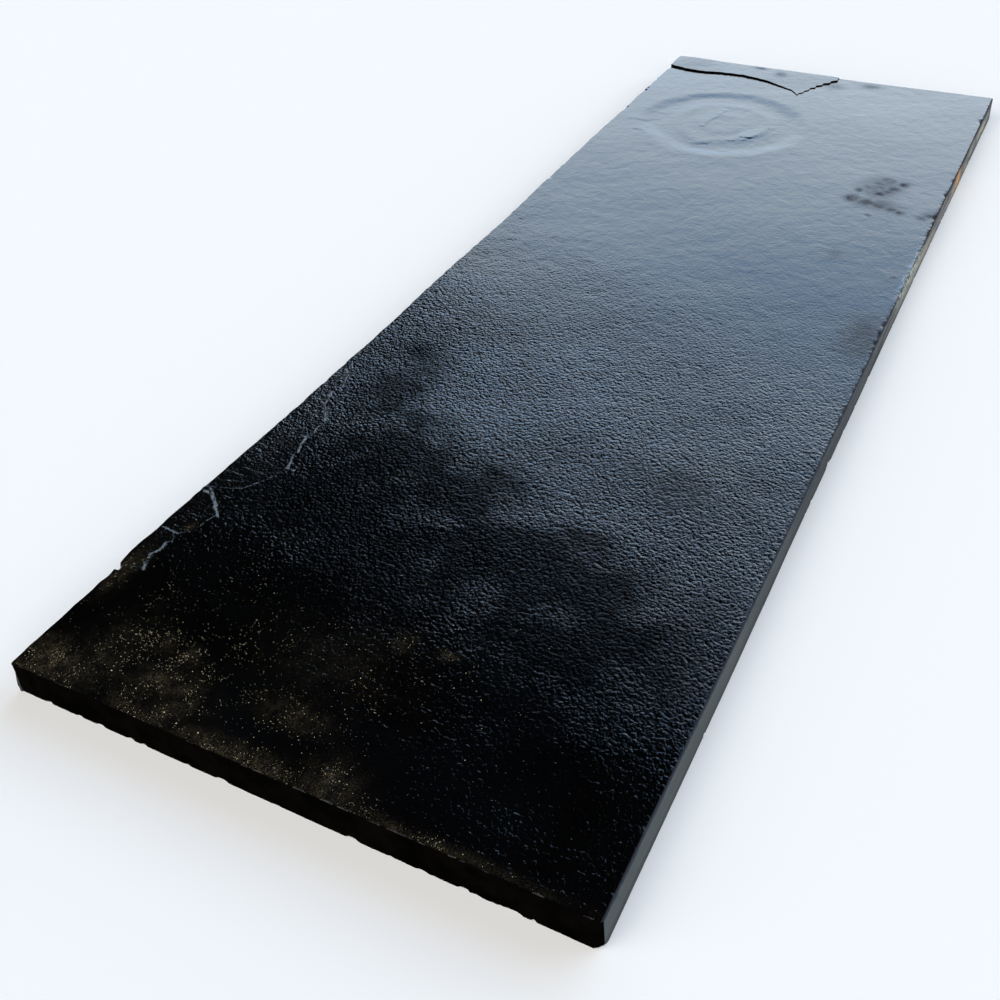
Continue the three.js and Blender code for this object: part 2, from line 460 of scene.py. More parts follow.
@dataclass
class Spall:
    """A scar on the back edge where a thin leaf has let go."""

    inner: Sequence[Place]
    seed: int
    depth_inside: float = 0.0007
    depth_at_edge: float = 0.0015
    riser: float = 0.0020
    overrun: float = 0.014
    end_slant: float = 0.002
    tooth: float = 0.0016
    tooth_length: float = 0.008
    ridge_height: float = 0.00025
    ridge_cell: float = 0.011
    ridge_stretch: float = 0.22
    ridges_from: float = 0.012
    break_line: Array = field(init=False)
    outline: Array = field(init=False)
    reach: float = field(init=False)

    def __post_init__(self) -> None:
        """Lays out the scar's ragged inner edge."""
        self.reach = max(back for _, back in self.inner)
        line = along_line(self.inner, LINE_STEP)
        self.break_line = ragged(line, self.tooth, self.tooth_length, self.seed)
        first, last = self.inner[0][0] - self.end_slant, self.inner[-1][0] + self.end_slant
        ends = np.array([[last, -self.overrun], [first, -self.overrun]])
        self.outline = np.concatenate([self.break_line, ends])

    def depth(self, place: Array) -> Array:
        """How deep each point lies inside the scar's outline, below 0 outside it."""
        return depth_inside(place, self.outline)

    def drop(self, place: Array, noise: SmoothNoise) -> Array:
        """Works out how far the scar's floor lies below the face.

        Args:
            place: The places on the slab.
            noise: Noise for the ridges, which run across the edge.

        Returns:
            The drop at each point, 0 outside the scar.
        """
        inside = self.depth(place)
        share = np.clip(place[:, 1] / self.reach, 0.0, 1.0)
        floor = self.depth_at_edge + (self.depth_inside - self.depth_at_edge) * share
        ridges = noise.layered(place[:, 0], self.ridge_stretch * place[:, 1], self.ridge_cell, 2)
        settled = ease(inside / self.ridges_from)
        return ease(inside / self.riser) * (floor + self.ridge_height * settled * ridges)


@dataclass
class Lip:
    """A low broken lip on the face: stone stands proud on its left and fades away from it."""

    points: Sequence[Place]
    height: float
    riser: float
    fade: float
    seed: int
    tooth: float = 0.0009
    tooth_length: float = 0.008
    line: Array = field(init=False)

    def __post_init__(self) -> None:
        """Lays out the lip's ragged line."""
        line = along_line(self.points, LINE_STEP)
        self.line = ragged(line, self.tooth, self.tooth_length, self.seed)

    def rise(self, place: Array) -> Array:
        """Works out how far the lip stands up.

        Args:
            place: The places on the slab.

        Returns:
            The rise at each point.
        """
        distance, side = line_distance(place, self.line)
        proud = ease(distance / self.riser) * (1.0 - ease(distance / self.fade))
        return np.where(side > 0.0, self.height * proud, 0.0)


@dataclass
class DishFlake:
    """The thin flake left standing in the floor of the dish, thinning away from the near end."""

    corners: Sequence[Place] = (
        (1.479, 0.238), (1.486, 0.233), (1.500, 0.235), (1.514, 0.241), (1.532, 0.256),
        (1.539, 0.268), (1.534, 0.277), (1.518, 0.273), (1.500, 0.268), (1.486, 0.260),
        (1.478, 0.249),
    )
    thickness: float = 0.0007
    reach: float = 0.064
    riser: float = 0.0012
    tooth: float = 0.0008
    tooth_length: float = 0.007
    seed: int = 31
    outline: Array = field(init=False)

    def __post_init__(self) -> None:
        """Lays out the flake's ragged outline."""
        line = along_line(self.corners, LINE_STEP, closed=True)
        self.outline = ragged(line, self.tooth, self.tooth_length, self.seed)

    def rise(self, place: Array) -> Array:
        """Works out how far the flake stands up.

        Args:
            place: The places on the slab.

        Returns:
            The rise at each point, 0 outside the flake.
        """
        tilt = 1.0 - (place[:, 0] - self.corners[0][0]) / self.reach
        inside = ease(depth_inside(place, self.outline) / self.riser)
        return self.thickness * np.clip(tilt, 0.0, 1.0) * inside


# ---------------- the cleft face

SWELLS = (
    Mound(0.250, 0.420, 0.150, 0.0005),
    Mound(0.295, 0.345, 0.055, -0.0010),
    Mound(0.390, 0.380, 0.055, 0.0010),
    Mound(0.480, 0.220, 0.080, 0.0020),
    Mound(0.760, 0.060, 0.110, 0.0013),
    Mound(0.470, 0.470, 0.120, -0.0003),
    Mound(0.820, 0.330, 0.210, 0.0008),
    Mound(1.090, 0.130, 0.170, -0.0007),
    Mound(1.180, 0.480, 0.180, 0.0007),
    Mound(1.790, 0.420, 0.130, -0.0009),
)

WAVES = (
    Wave(0.610, 0.940, 0.4, 0.00045),
    Wave(0.270, -0.390, 1.9, 0.00028),
    Wave(0.143, 0.211, 4.1, 0.00016),
)

SPALLS = (
    Spall(
        inner=(
            (0.1520, 0.0040), (0.1584, 0.0283), (0.1671, 0.0230), (0.1798, 0.0199), (0.1905, 0.0244),
            (0.2013, 0.0225), (0.2038, 0.0279), (0.2179, 0.0264), (0.2280, 0.0386), (0.2485, 0.0403),
            (0.2598, 0.0450), (0.2709, 0.0352), (0.2730, 0.0296), (0.2868, 0.0145), (0.2920, 0.0030),
        ),
        seed=11,
    ),
    Spall(
        inner=(
            (0.2940, 0.0030), (0.3011, 0.0244), (0.3090, 0.0416), (0.3219, 0.0482), (0.3316, 0.0549),
            (0.3439, 0.0598), (0.3588, 0.0640), (0.3720, 0.0618), (0.3837, 0.0570), (0.3915, 0.0587),
            (0.4066, 0.0528), (0.4217, 0.0480), (0.4275, 0.0550), (0.4394, 0.0512), (0.4532, 0.0543),
            (0.4701, 0.0454), (0.4836, 0.0326), (0.4980, 0.0295), (0.5139, 0.0247), (0.5225, 0.0321),
            (0.5414, 0.0265), (0.5575, 0.0203), (0.5707, 0.0080), (0.5800, 0.0030),
        ),
        seed=12,
    ),
)

LIPS = (
    Lip(((1.592, 0.181), (1.577, 0.177), (1.557, 0.176), (1.530, 0.167), (1.503, 0.166), (1.500, 0.156)),
        0.0004, 0.0030, 0.030, 21),
    Lip(((1.545, 0.281), (1.524, 0.281), (1.502, 0.276), (1.486, 0.267), (1.476, 0.254), (1.466, 0.249)),
        0.0003, 0.0050, 0.030, 22),
    Lip(((1.489, 0.066), (1.485, 0.050), (1.484, 0.026)), 0.0003, 0.0050, 0.030, 23),
    Lip(((1.444, 0.074), (1.443, 0.062), (1.440, 0.050)), 0.0003, 0.0050, 0.024, 24),
    Lip(((1.431, 0.199), (1.426, 0.186), (1.421, 0.168)), 0.0004, 0.0045, 0.026, 25),
    Lip(((1.409, 0.240), (1.405, 0.218)), 0.0003, 0.0050, 0.022, 26),
    Lip(((1.457, 0.236), (1.455, 0.222)), 0.0004, 0.0050, 0.020, 27),
    Lip(((1.535, 0.078), (1.531, 0.066)), 0.0003, 0.0040, 0.020, 28),
    Lip(((1.470, 0.256), (1.464, 0.246)), 0.0004, 0.0040, 0.014, 29),
)


@dataclass
class Bruise:
    """A pale, fibrous line where the stone has been struck along a break."""

    points: Sequence[Place]
    half_width: float
    strength: float = 1.0
    step: float = 0.0022
    tooth: float = 0.0005
    tooth_length: float = 0.005
    seed: int = 61

    def line(self) -> Array:
        """Lays out the line's points, a little ragged."""
        return ragged(along_line(self.points, self.step), self.tooth, self.tooth_length, self.seed)

    def cover(self, place: Array) -> Array:
        """Works out how pale the line makes each point.

        Args:
            place: The places on the slab.

        Returns:
            The line's strength on its middle, falling to 0 at its sides.
        """
        distance, _ = line_distance(place, self.line())
        return self.strength * np.clip(1.0 - distance / self.half_width, 0.0, 1.0)


BRUISES = (
    Bruise(((0.5828, 0.0098), (0.5710, 0.0174)), 0.0018, 0.8),
    Bruise(((0.5707, 0.0022), (0.5575, 0.0203), (0.5414, 0.0265), (0.5225, 0.0321)), 0.0026),
    Bruise(
        ((0.5139, 0.0247), (0.4980, 0.0295), (0.4836, 0.0326), (0.4701, 0.0454), (0.4532, 0.0543)),
        0.0036,
    ),
    Bruise(((0.4982, 0.0078), (0.4931, 0.0205), (0.4841, 0.0335)), 0.0020, 0.6),
    Bruise(((0.4501, 0.0516), (0.4394, 0.0512), (0.4275, 0.0550)), 0.0024),
    Bruise(((0.4217, 0.0447), (0.4185, 0.0512), (0.4066, 0.0528), (0.3915, 0.0587)), 0.0027),
    Bruise(((0.3837, 0.0570), (0.3720, 0.0618), (0.3613, 0.0647), (0.3602, 0.0748)), 0.0027),
    Bruise(
        ((0.3588, 0.0630), (0.3439, 0.0598), (0.3316, 0.0549), (0.3090, 0.0416), (0.3011, 0.0244)),
        0.0015, 0.6,
    ),
    Bruise(((0.2884, 0.0027), (0.2868, 0.0145), (0.2730, 0.0296), (0.2576, 0.0468)), 0.0026),
    Bruise(((0.2950, 0.0056), (0.2856, 0.0190), (0.2709, 0.0352)), 0.0020, 0.9),
    Bruise(((0.2598, 0.0450), (0.2485, 0.0403), (0.2372, 0.0391)), 0.0015, 0.7),
    Bruise(((0.2199, 0.0018), (0.2180, 0.0172), (0.2179, 0.0264)), 0.0019, 0.8),
    Bruise(((0.2152, 0.0207), (0.2038, 0.0279)), 0.0016, 0.8),
    Bruise(
        ((0.2013, 0.0225), (0.1905, 0.0244), (0.1798, 0.0199), (0.1671, 0.0230), (0.1584, 0.0283)),
        0.0034,
    ),
    Bruise(((0.3556, 0.0111), (0.3563, 0.0261)), 0.0014, 0.7),
    Bruise(((0.3297, 0.0034), (0.3291, 0.0240)), 0.0014, 0.6),
    Bruise(((0.3420, 0.0190), (0.3408, 0.0458)), 0.0014, 0.5),
    Bruise(((0.3128, 0.0106), (0.3200, 0.0333)), 0.0015, 0.6),
    Bruise(((0.2991, 0.0166), (0.3051, 0.0330)), 0.0015, 0.6),
    Bruise(((0.2500, 0.0138), (0.2495, 0.0293)), 0.0013, 0.6),
    Bruise(((0.3845, 0.0280), (0.3830, 0.0363)), 0.0014, 0.6),
    Bruise(((0.3781, 0.0062), (0.3753, 0.0156)), 0.0014, 0.5),
)


@dataclass
class CleftFace:
    """The split top of the slab."""

    plan: SlabPlan
    dish: RippleDish = field(default_factory=RippleDish)
    flake: DishFlake = field(default_factory=DishFlake)
    leaf: StandingLeaf = field(init=False)
    noise: SmoothNoise = field(default_factory=lambda: SmoothNoise(3))
    lumps: Sequence[tuple[float, float]] = (
        (0.090, 0.00024), (0.040, 0.00013), (0.018, 0.00009),
    )
    lump_stretch: float = 0.8
    calmed: float = 0.65
    calm_from: float = 0.55
    calm_run: float = 0.35

    def __post_init__(self) -> None:
        """Lays out the leaf."""
        self.leaf = StandingLeaf(self.plan.length)

    def calm(self, near: Array) -> Array:
        """Works out how strong waves and lumps are, from the distance to the near end."""
        return 1.0 - self.calmed * ease((near - self.calm_from) / self.calm_run)

    def bed(self, place: Array) -> Array:
        """Works out the swells and waves of the split.

        Args:
            place: The places on the slab.

        Returns:
            Height of each point above the nominal thickness.
        """
        x = place[:, 0] - self.plan.length / 2
        y = self.plan.width / 2 - place[:, 1]
        calm = self.calm(place[:, 0])
        height = np.zeros(len(place))
        for wave in WAVES:
            turns = x / wave.along + y / wave.across
            height += calm * wave.height * np.sin(2.0 * math.pi * turns + wave.phase)
        for swell in SWELLS:
            height += swell.rise(place)
        return height

    def height(self, place: Array) -> Array:
        """Works out the height of the finished face.

        Args:
            place: The places on the slab.

        Returns:
            Height of each point above the underside.
        """
        u, v = place.T
        height = self.dish.press(place, self.bed(place), self.noise)
        for index, (cell, lump) in enumerate(self.lumps):
            height += lump * self.calm(u) * self.noise.at(u + index, self.lump_stretch * v - index, cell)
        height += self.leaf.height(place)
        height += self.flake.rise(place)
        for spall in SPALLS:
            height -= spall.drop(place, self.noise)
        for lip in LIPS:
            height += lip.rise(place)
        return self.plan.thickness + height

    def break_lines(self) -> list[Array]:
        """Lists the foot and the crest of every break, so that the mesh can follow them.

        Returns:
            Lines of places on the slab.
        """
        lines = [self.leaf.break_line, beside(self.leaf.break_line, -self.leaf.riser)]
        for spall in SPALLS:
            lines += [spall.break_line, beside(spall.break_line, -spall.riser)]
        for lip in LIPS:
            lines += [lip.line, beside(lip.line, lip.riser)]
        lines.append(np.concatenate([self.flake.outline, self.flake.outline[:1]]))
        return lines

    def bruise_points(self) -> Array:
        """Lists points along the middle and the sides of every bruise.

        Returns:
            The places on the slab.
        """
        points = []
        for bruise in BRUISES:
            line = bruise.line()
            points += [line, *(beside(line, side * bruise.half_width) for side in (-1.0, 1.0))]
        return np.concatenate(points)


def beside(line: Array, distance: float) -> Array:
    """Draws a line beside another.

    Args:
        line: The line's points, one a row.
        distance: How far to the left in the plan of distances, below 0 for the right.

    Returns:
        The points that keep that distance from all of the first line.
    """
    run = np.gradient(line, axis=0)
    run /= np.maximum(np.linalg.norm(run, axis=1, keepdims=True), NO_LENGTH)
    moved = line + distance * np.stack([-run[:, 1], run[:, 0]], axis=1)
    clear, _ = line_distance(moved, line)
    return moved[clear > BESIDE_LEAST * abs(distance)]


# ---------------- the edges


@dataclass(frozen=True)
class Chip:
    """A chip out of an arris, as the rounded lump of stone that has gone."""

    centre: Point
    radii: Point
    turn: float = 0.0

    def carve(self, points: Array, inward: Array) -> tuple[Array, Array]:
        """Moves points out of the lump, into the stone.

        Args:
            points: The points, one a row.
            inward: The way into the stone at each point, as unit vectors.

        Returns:
            The moved points, and how far each has moved.
        """
        cosine, sine = math.cos(self.turn), math.sin(self.turn)
        turned = np.array([[cosine, 0.0, -sine], [0.0, 1.0, 0.0], [sine, 0.0, cosine]])
        local = ((points - np.array(self.centre)) @ turned) / np.array(self.radii)
        way = (inward @ turned) / np.array(self.radii)
        a = np.sum(way * way, axis=1)
        b = np.sum(way * local, axis=1)
        c = np.sum(local * local, axis=1) - 1.0
        root = np.sqrt(np.maximum(b * b - a * c, 0.0))
        step = np.where(c < 0.0, (root - b) / a, 0.0)
        return points + inward * step[:, None], step


@dataclass(frozen=True)
class ChipRun:
    """A run of drawn chips along an arris.

    x, y and z are the ranges of a chip's half sizes. The run starts at the share first of the arris
    and crowds towards its end.
    """

    count: int
    x: Range
    y: Range
    z: Range
    most_turn: float = 0.0
    first: float = 0.0
    crowding: float = 1.0

    def chips(self, draw: np.random.Generator, start: Point, way: Point) -> list[Chip]:
        """Draws the chips.

        Args:
            draw: The source of the draws.
            start: Where the arris starts.
            way: From there to its end.

        Returns:
            The chips.
        """
        chips = []
        for share in np.power(draw.uniform(self.first, 1.0, self.count), self.crowding):
            size = (draw.uniform(*self.x), draw.uniform(*self.y), draw.uniform(*self.z))
            turn = draw.uniform(-self.most_turn, self.most_turn) if self.most_turn else 0.0
            chips.append(Chip(tuple(np.array(start) + share * np.array(way)), size, turn))
        return chips


@dataclass
class ArrisChips:
    """The chips along the slab's arrises.

    The large ones are (from the near end, half length, half width, half height), and those of the foot
    are (from the near end, half length).
    """

    plan: SlabPlan
    seed: int = 41
    front_small: ChipRun = ChipRun(
        260, (0.0013, 0.0034), (0.0008, 0.0018), (0.0008, 0.0018), most_turn=0.3, crowding=0.72
    )
    front_large: ChipRun = ChipRun(
        26, (0.0040, 0.0080), (0.0012, 0.0024), (0.0012, 0.0024), most_turn=0.3, crowding=0.72
    )
    front_foot: ChipRun = ChipRun(46, (0.002, 0.007), (0.0008, 0.0020), (0.001, 0.003))
    near_foot: ChipRun = ChipRun(23, (0.0008, 0.0020), (0.003, 0.008), (0.001, 0.003))
    near_end: ChipRun = ChipRun(60, (0.0007, 0.0018), (0.002, 0.007), (0.0006, 0.0014))
    back: ChipRun = ChipRun(
        48, (0.003, 0.009), (0.0010, 0.0028), (0.001, 0.003), most_turn=0.3, first=0.33
    )
    back_inset: float = 0.001
    large: Sequence[tuple[float, float, float, float]] = (
        (0.918, 0.011, 0.0042, 0.0030), (0.896, 0.007, 0.0032, 0.0024),
        (0.944, 0.008, 0.0028, 0.0022), (1.290, 0.009, 0.0040, 0.0020),
        (1.375, 0.008, 0.0034, 0.0026), (1.705, 0.012, 0.0036, 0.0030),
    )
    foot_large: Sequence[Place] = (
        (0.231, 0.006), (0.668, 0.009), (0.742, 0.005), (1.612, 0.007), (1.734, 0.006),
    )
    foot_shape: Point = (1.0, 0.4, 0.5)
    corner_break: Point = (-0.0107, -0.0153, -0.0179)
    corner_radius: float = 0.030
    back_nick: Point = (0.150, 0.001, 0.0)
    back_nick_size: Point = (0.005, 0.005, 0.006)

    def chips(self) -> list[Chip]:
        """Lists the chips of every arris, those with a place of their own first."""
        return [*self.placed(), *self.drawn()]

    def placed(self) -> list[Chip]:
        """Lists the chips that have a place of their own.

        Returns:
            The broken foot of the near front corner, the nick in the back edge and the larger chips.
        """
        plan = self.plan
        corner = np.array((plan.near_x, plan.front_y, 0.0)) + self.corner_break
        nick = np.array((plan.near_x, plan.back_y, plan.thickness)) + self.back_nick
        chips = [
            Chip(tuple(corner), (self.corner_radius,) * 3),
            Chip(tuple(nick), self.back_nick_size),
        ]
        for near, *size in self.large:
            chips.append(Chip((plan.near_x + near, plan.front_y, plan.thickness), tuple(size)))
        for near, size in self.foot_large:
            shape = tuple(size * share for share in self.foot_shape)
            chips.append(Chip((plan.near_x + near, plan.front_y, 0.0), shape))
        return chips

    def drawn(self) -> list[Chip]:
        """Draws the other chips, each arris with its own source of draws.

        Returns:
            The chips: front top, bottom, back top and near top.
        """
        plan = self.plan
        along, across = (plan.length, 0.0, 0.0), (0.0, plan.width, 0.0)
        foot, top = ((plan.near_x, plan.front_y, height) for height in (0.0, plan.thickness))
        back = (plan.near_x, plan.back_y - self.back_inset, plan.thickness)
        arrises = (
            ((self.front_small, top, along), (self.front_large, top, along)),
            ((self.front_foot, foot, along), (self.near_foot, foot, across)),
            ((self.back, back, along),),
            ((self.near_end, top, across),),
        )
        chips = []
        for index, runs in enumerate(arrises):
            draw = np.random.default_rng(self.seed + index)
            for run, start, way in runs:
                chips += run.chips(draw, start, way)
        return chips


@dataclass
class EdgeWork:
    """The outline of the slab and the finish of its four edge faces."""

    plan: SlabPlan
    corner_radius: float = 0.0034
    front_step: float = 0.0022
    end_step: float = 0.0030
    back_step: float = 0.0030
    back_line: Sequence[Place] = (
        (0.000, 0.0000), (0.140, 0.0004), (0.176, -0.0054), (0.230, -0.0033), (0.340, -0.0012),
        (0.550, 0.0024), (0.690, 0.0056), (0.870, 0.0036), (1.030, 0.0046), (1.180, 0.0015),
        (1.450, 0.0003), (1.8288, 0.0000),
    )
    front_flare: Sequence[Place] = (
        (0.000, 0.0021), (0.300, 0.0023), (0.420, 0.0019), (0.520, 0.0012), (0.700, 0.0011),
        (1.050, 0.0007), (1.300, 0.0009), (1.500, 0.0014), (1.8288, 0.0019),
    )
    end_flare: float = 0.0008
    corner_turns: Sequence[float] = (0.0, 0.3, 0.6, 0.9)
    back_tooth: float = 0.0007
    back_tooth_length: float = 0.012
    end_run: float = 0.02
    arris_share: float = 0.12
    scallop_depth: float = 0.0026
    scallop_length: float = 0.029
    scallop_swing: float = 1.4
    scallop_drift: float = 0.083
    trim_depth: float = 0.0011
    trim_cells: Range = (0.016, 0.0045)
    trim_heights: Range = (0.9, 0.5)
    fine_stretch: float = 0.3
    near_kick: float = 0.0035
    near_kick_reach: float = 0.030
    saw_depth: float = 0.00010
    saw_cell: float = 0.05
    saw_stretch: float = 3.0
    end_depth: float = 0.00022
    end_cell: float = 0.012
    noise: SmoothNoise = field(default_factory=lambda: SmoothNoise(17))

    def outline(self) -> tuple[Array, Array, Array]:
        """Walks round the slab, anticlockwise seen from above.

        Returns:
            The points of the outline, the way into the stone at each, and each point's side.
        """
        plan, radius = self.plan, self.corner_radius
        left, right = plan.near_x + radius, plan.far_x - radius
        low, high = plan.front_y + radius, plan.back_y - radius
        front = self.stations(left, right, self.front_step)
        far = self.stations(low, high, self.end_step)
        back = self.stations(right, left, self.back_step)
        near = self.stations(high, low, self.end_step)
        inset = self.back_inset(back)
        runs = (
            (np.stack([front, np.full_like(front, plan.front_y)], 1), 0.0, Side.SAWN),
            (np.array([right, low]), 0.0, Side.SAWN),
            (np.stack([np.full_like(far, plan.far_x), far], 1), 1.0, Side.END),
            (np.array([right, high]), 1.0, Side.END),
            (np.stack([back, plan.back_y - inset], 1), 2.0, Side.TRIMMED),
            (np.array([left, high]), 2.0, Side.TRIMMED),
            (np.stack([np.full_like(near, plan.near_x), near], 1), 3.0, Side.END),
            (np.array([left, low]), 3.0, Side.END),
        )
        points, inward, sides = [], [], []
        for place, quarter, side in runs:
            is_corner = place.ndim == 1
            turns = quarter + (np.array(self.corner_turns) if is_corner else np.zeros(len(place)))
            out = np.stack([np.sin(0.5 * math.pi * turns), -np.cos(0.5 * math.pi * turns)], axis=1)
            points.append(place + radius * out if is_corner else place)
            inward.append(-out)
            sides.append(np.full(len(out), side.value))
        return np.concatenate(points), np.concatenate(inward), np.concatenate(sides)

    def back_inset(self, x: Array) -> Array:
        """Works out how far the back edge lies inside its nominal line.

        Args:
            x: Where along the slab.

        Returns:
            The distance inwards, below 0 where the edge stands out.
        """
        path = eased_path(x - self.plan.near_x, self.back_line)
        path = path + self.back_tooth * self.noise.at(x, np.zeros_like(x), self.back_tooth_length)
        from_near, from_far = x - self.plan.near_x, self.plan.far_x - x
        return path * ease(from_near / self.end_run) * ease(from_far / self.end_run)

    def is_within(self, points: Array, margin: float) -> Array:
        """Tells which points lie within the slab's outline.

        Args:
            points: The points, one a row.
            margin: How far inside the outline they have to be.

        Returns:
            True for each point that does.
        """
        x, y = points.T
        across = (x > self.plan.near_x + margin) & (x < self.plan.far_x - margin)
        back = self.plan.back_y - self.back_inset(x)
        return across & (y > self.plan.front_y + margin) & (y < back - margin)

    @staticmethod
    def stations(start: float, stop: float, step: float) -> Array:
        """Spaces points from start to stop, leaving stop out."""
        count = round(abs(stop - start) / step)
        return start + (stop - start) * np.arange(count) / count

    def bite(self, points: Array, sides: Array, height: Array) -> Array:
        """Works out how far the edge faces lie behind the outline.

        Args:
            points: The outline's points.
            sides: The side of each point.
            height: Height of each point above the underside.

        Returns:
            The distance into the stone at each point.
        """
        near = points[:, 0] - self.plan.near_x
        run = points[:, 0] + points[:, 1]
        low = np.clip(1.0 - height / self.plan.thickness, 0.0, 1.0)
        settled = ease(low / self.arris_share)
        drift = self.scallop_swing * np.sin(near / self.scallop_drift)
        scallop = np.abs(np.sin(near / self.scallop_length + drift))
        coarse = self.noise.layered(run, height, self.trim_cells[0])
        fine = self.noise.at(self.fine_stretch * run, height, self.trim_cells[1])
        course = self.trim_heights[0] * coarse + self.trim_heights[1] * fine
        trimmed = low * self.scallop_depth * scallop + self.trim_depth * settled * (1.0 + course)
        trimmed = trimmed - self.near_kick * low * np.exp(-np.square(near / self.near_kick_reach))
        saw_marks = self.noise.layered(run, self.saw_stretch * height, self.saw_cell, 2)
        sawn = self.saw_depth * settled * (1.0 + saw_marks) - low * eased_path(near, self.front_flare)
        end_marks = self.noise.layered(run, height, self.end_cell)
        end = self.end_depth * settled * (1.0 + end_marks) - self.end_flare * low
        is_trimmed, is_sawn = sides == Side.TRIMMED.value, sides == Side.SAWN.value
        return np.select([is_trimmed, is_sawn], [trimmed, sawn], default=end)


# ---------------- marks

DUST = (
    Blotch(0.018, 0.030, 0.026, 0.045, 0.9),
    Blotch(0.050, 0.078, 0.050, 0.030, 0.35),
    Blotch(0.146, 0.010, 0.030, 0.012, 0.8),
    Blotch(0.163, 0.010, 0.009, 0.008, 0.9),
    Blotch(0.028, 0.157, 0.030, 0.036, 0.95, hollow=0.75),
    Blotch(0.080, 0.153, 0.015, 0.013, 0.45, sharp=1.4),
    Blotch(0.083, 0.117, 0.013, 0.014, 0.5),
    Blotch(0.007, 0.262, 0.011, 0.060, 1.0),
    Blotch(0.012, 0.352, 0.024, 0.026, 0.70),
    Blotch(0.066, 0.280, 0.014, 0.034, 0.50),
    Blotch(0.133, 0.278, 0.045, 0.070, 0.14),
    Blotch(0.183, 0.327, 0.014, 0.014, 0.26),
    Blotch(0.187, 0.372, 0.006, 0.010, 0.5),
    Blotch(0.232, 0.030, 0.007, 0.004, 0.8),
    Blotch(0.004, 0.450, 0.006, 0.110, 0.5),
)

GRIT = (
    Blotch(0.006, 0.290, 0.015, 0.085, 1.0, sharp=1.5),
    Blotch(0.012, 0.352, 0.026, 0.026, 0.9, sharp=1.5),
    Blotch(0.004, 0.410, 0.009, 0.070, 0.8),
    Blotch(0.010, 0.035, 0.034, 0.050, 0.9),
    Blotch(0.060, 0.130, 0.048, 0.075, 0.8),
    Blotch(0.100, 0.085, 0.050, 0.040, 0.4),
    Blotch(0.066, 0.275, 0.028, 0.055, 0.5),
    Blotch(0.110, 0.200, 0.090, 0.120, 0.24),
    Blotch(0.170, 0.300, 0.090, 0.120, 0.16),
)

STAINS = (
    Blotch(1.309, 0.478, 0.017, 0.015, 0.74, sharp=1.4),
    Blotch(1.303, 0.500, 0.015, 0.018, 0.72, sharp=1.4),
    Blotch(1.297, 0.521, 0.013, 0.017, 0.74, sharp=1.3),
    Blotch(1.290, 0.541, 0.010, 0.013, 0.76),
    Blotch(1.285, 0.556, 0.009, 0.008, 0.82),
    Blotch(1.343, 0.480, 0.011, 0.008, 0.72),
    Blotch(1.362, 0.490, 0.011, 0.010, 0.62),
    Blotch(1.341, 0.513, 0.012, 0.013, 0.74),
    Blotch(1.353, 0.522, 0.012, 0.012, 0.66),
    Blotch(1.368, 0.528, 0.013, 0.014, 0.76),
    Blotch(1.378, 0.502, 0.012, 0.012, 0.66),
    Blotch(1.396, 0.515, 0.013, 0.015, 0.70, sharp=1.6, hollow=0.3),
    Blotch(1.388, 0.541, 0.014, 0.011, 0.78),
    Blotch(1.362, 0.510, 0.048, 0.036, 0.48, sharp=1.8),
    Blotch(1.302, 0.512, 0.024, 0.048, 0.42, sharp=1.8),
    Blotch(1.278, 0.590, 0.008, 0.009, 0.78),
    Blotch(1.290, 0.600, 0.010, 0.011, 0.84),
    Blotch(1.300, 0.608, 0.014, 0.006, 0.84),
    Blotch(0.905, 0.588, 0.060, 0.030, 0.46, sharp=1.6),
    Blotch(1.820, 0.172, 0.008, 0.014, 0.9),
    Blotch(1.800, 0.219, 0.016, 0.014, 0.6),
    Blotch(1.780, 0.330, 0.022, 0.020, 0.46),
    Blotch(1.806, 0.390, 0.014, 0.024, 0.60),
    Blotch(1.112, 0.500, 0.018, 0.014, 0.36),
    Blotch(1.256, 0.514, 0.004, 0.004, 1.0),
    Blotch(1.077, 0.590, 0.003, 0.003, 0.9),
    Blotch(0.512, 0.482, 0.042, 0.032, 0.20, sharp=2.0),
)

MATT_PATCHES = (
    Blotch(0.285, 0.400, 0.115, 0.205, 1.10, turn=0.15, sharp=1.8),
    Blotch(0.345, 0.390, 0.052, 0.078, 1.20, sharp=2.0),
    Blotch(0.400, 0.160, 0.090, 0.140, 1.20, sharp=2.4),
    Blotch(0.300, 0.160, 0.110, 0.200, 1.20, sharp=1.8),
    Blotch(0.245, 0.240, 0.075, 0.150, 1.40, sharp=1.8),
    Blotch(0.180, 0.380, 0.070, 0.100, 0.80, sharp=1.5),
    Blotch(0.145, 0.460, 0.100, 0.095, 0.80, turn=0.2, sharp=1.8),
    Blotch(0.345, 0.565, 0.055, 0.036, 0.50, sharp=1.8),
    Blotch(0.392, 0.245, 0.054, 0.074, 1.50, sharp=2.0),
    Blotch(0.428, 0.285, 0.058, 0.080, 0.85, sharp=1.6),
    Blotch(0.480, 0.160, 0.050, 0.075, 0.95, sharp=2.0),
    Blotch(0.385, 0.425, 0.030, 0.045, 0.90, sharp=1.5),
    Blotch(0.515, 0.440, 0.075, 0.200, 0.36, sharp=2.0),
    Blotch(0.575, 0.080, 0.110, 0.070, 0.88, sharp=2.0),
    Blotch(0.515, 0.085, 0.050, 0.050, 1.05, sharp=2.0),
)

PITS = (
    Mound(1.256, 0.513, 0.0026, 0.0012),
    Mound(1.529, 0.224, 0.0024, 0.0010),
    Mound(0.905, 0.440, 0.0020, 0.0008),
    Mound(1.070, 0.215, 0.0022, 0.0008),
)

# How wide the worn strip beside the front edge is, as (from the near end, width).
WORN_STRIP = (
    (0.300, 0.0010), (0.500, 0.0022), (0.950, 0.0026), (1.040, 0.0008), (1.160, 0.0008),
    (1.250, 0.0030), (1.380, 0.0026), (1.500, 0.0012), (1.8288, 0.0008),
)


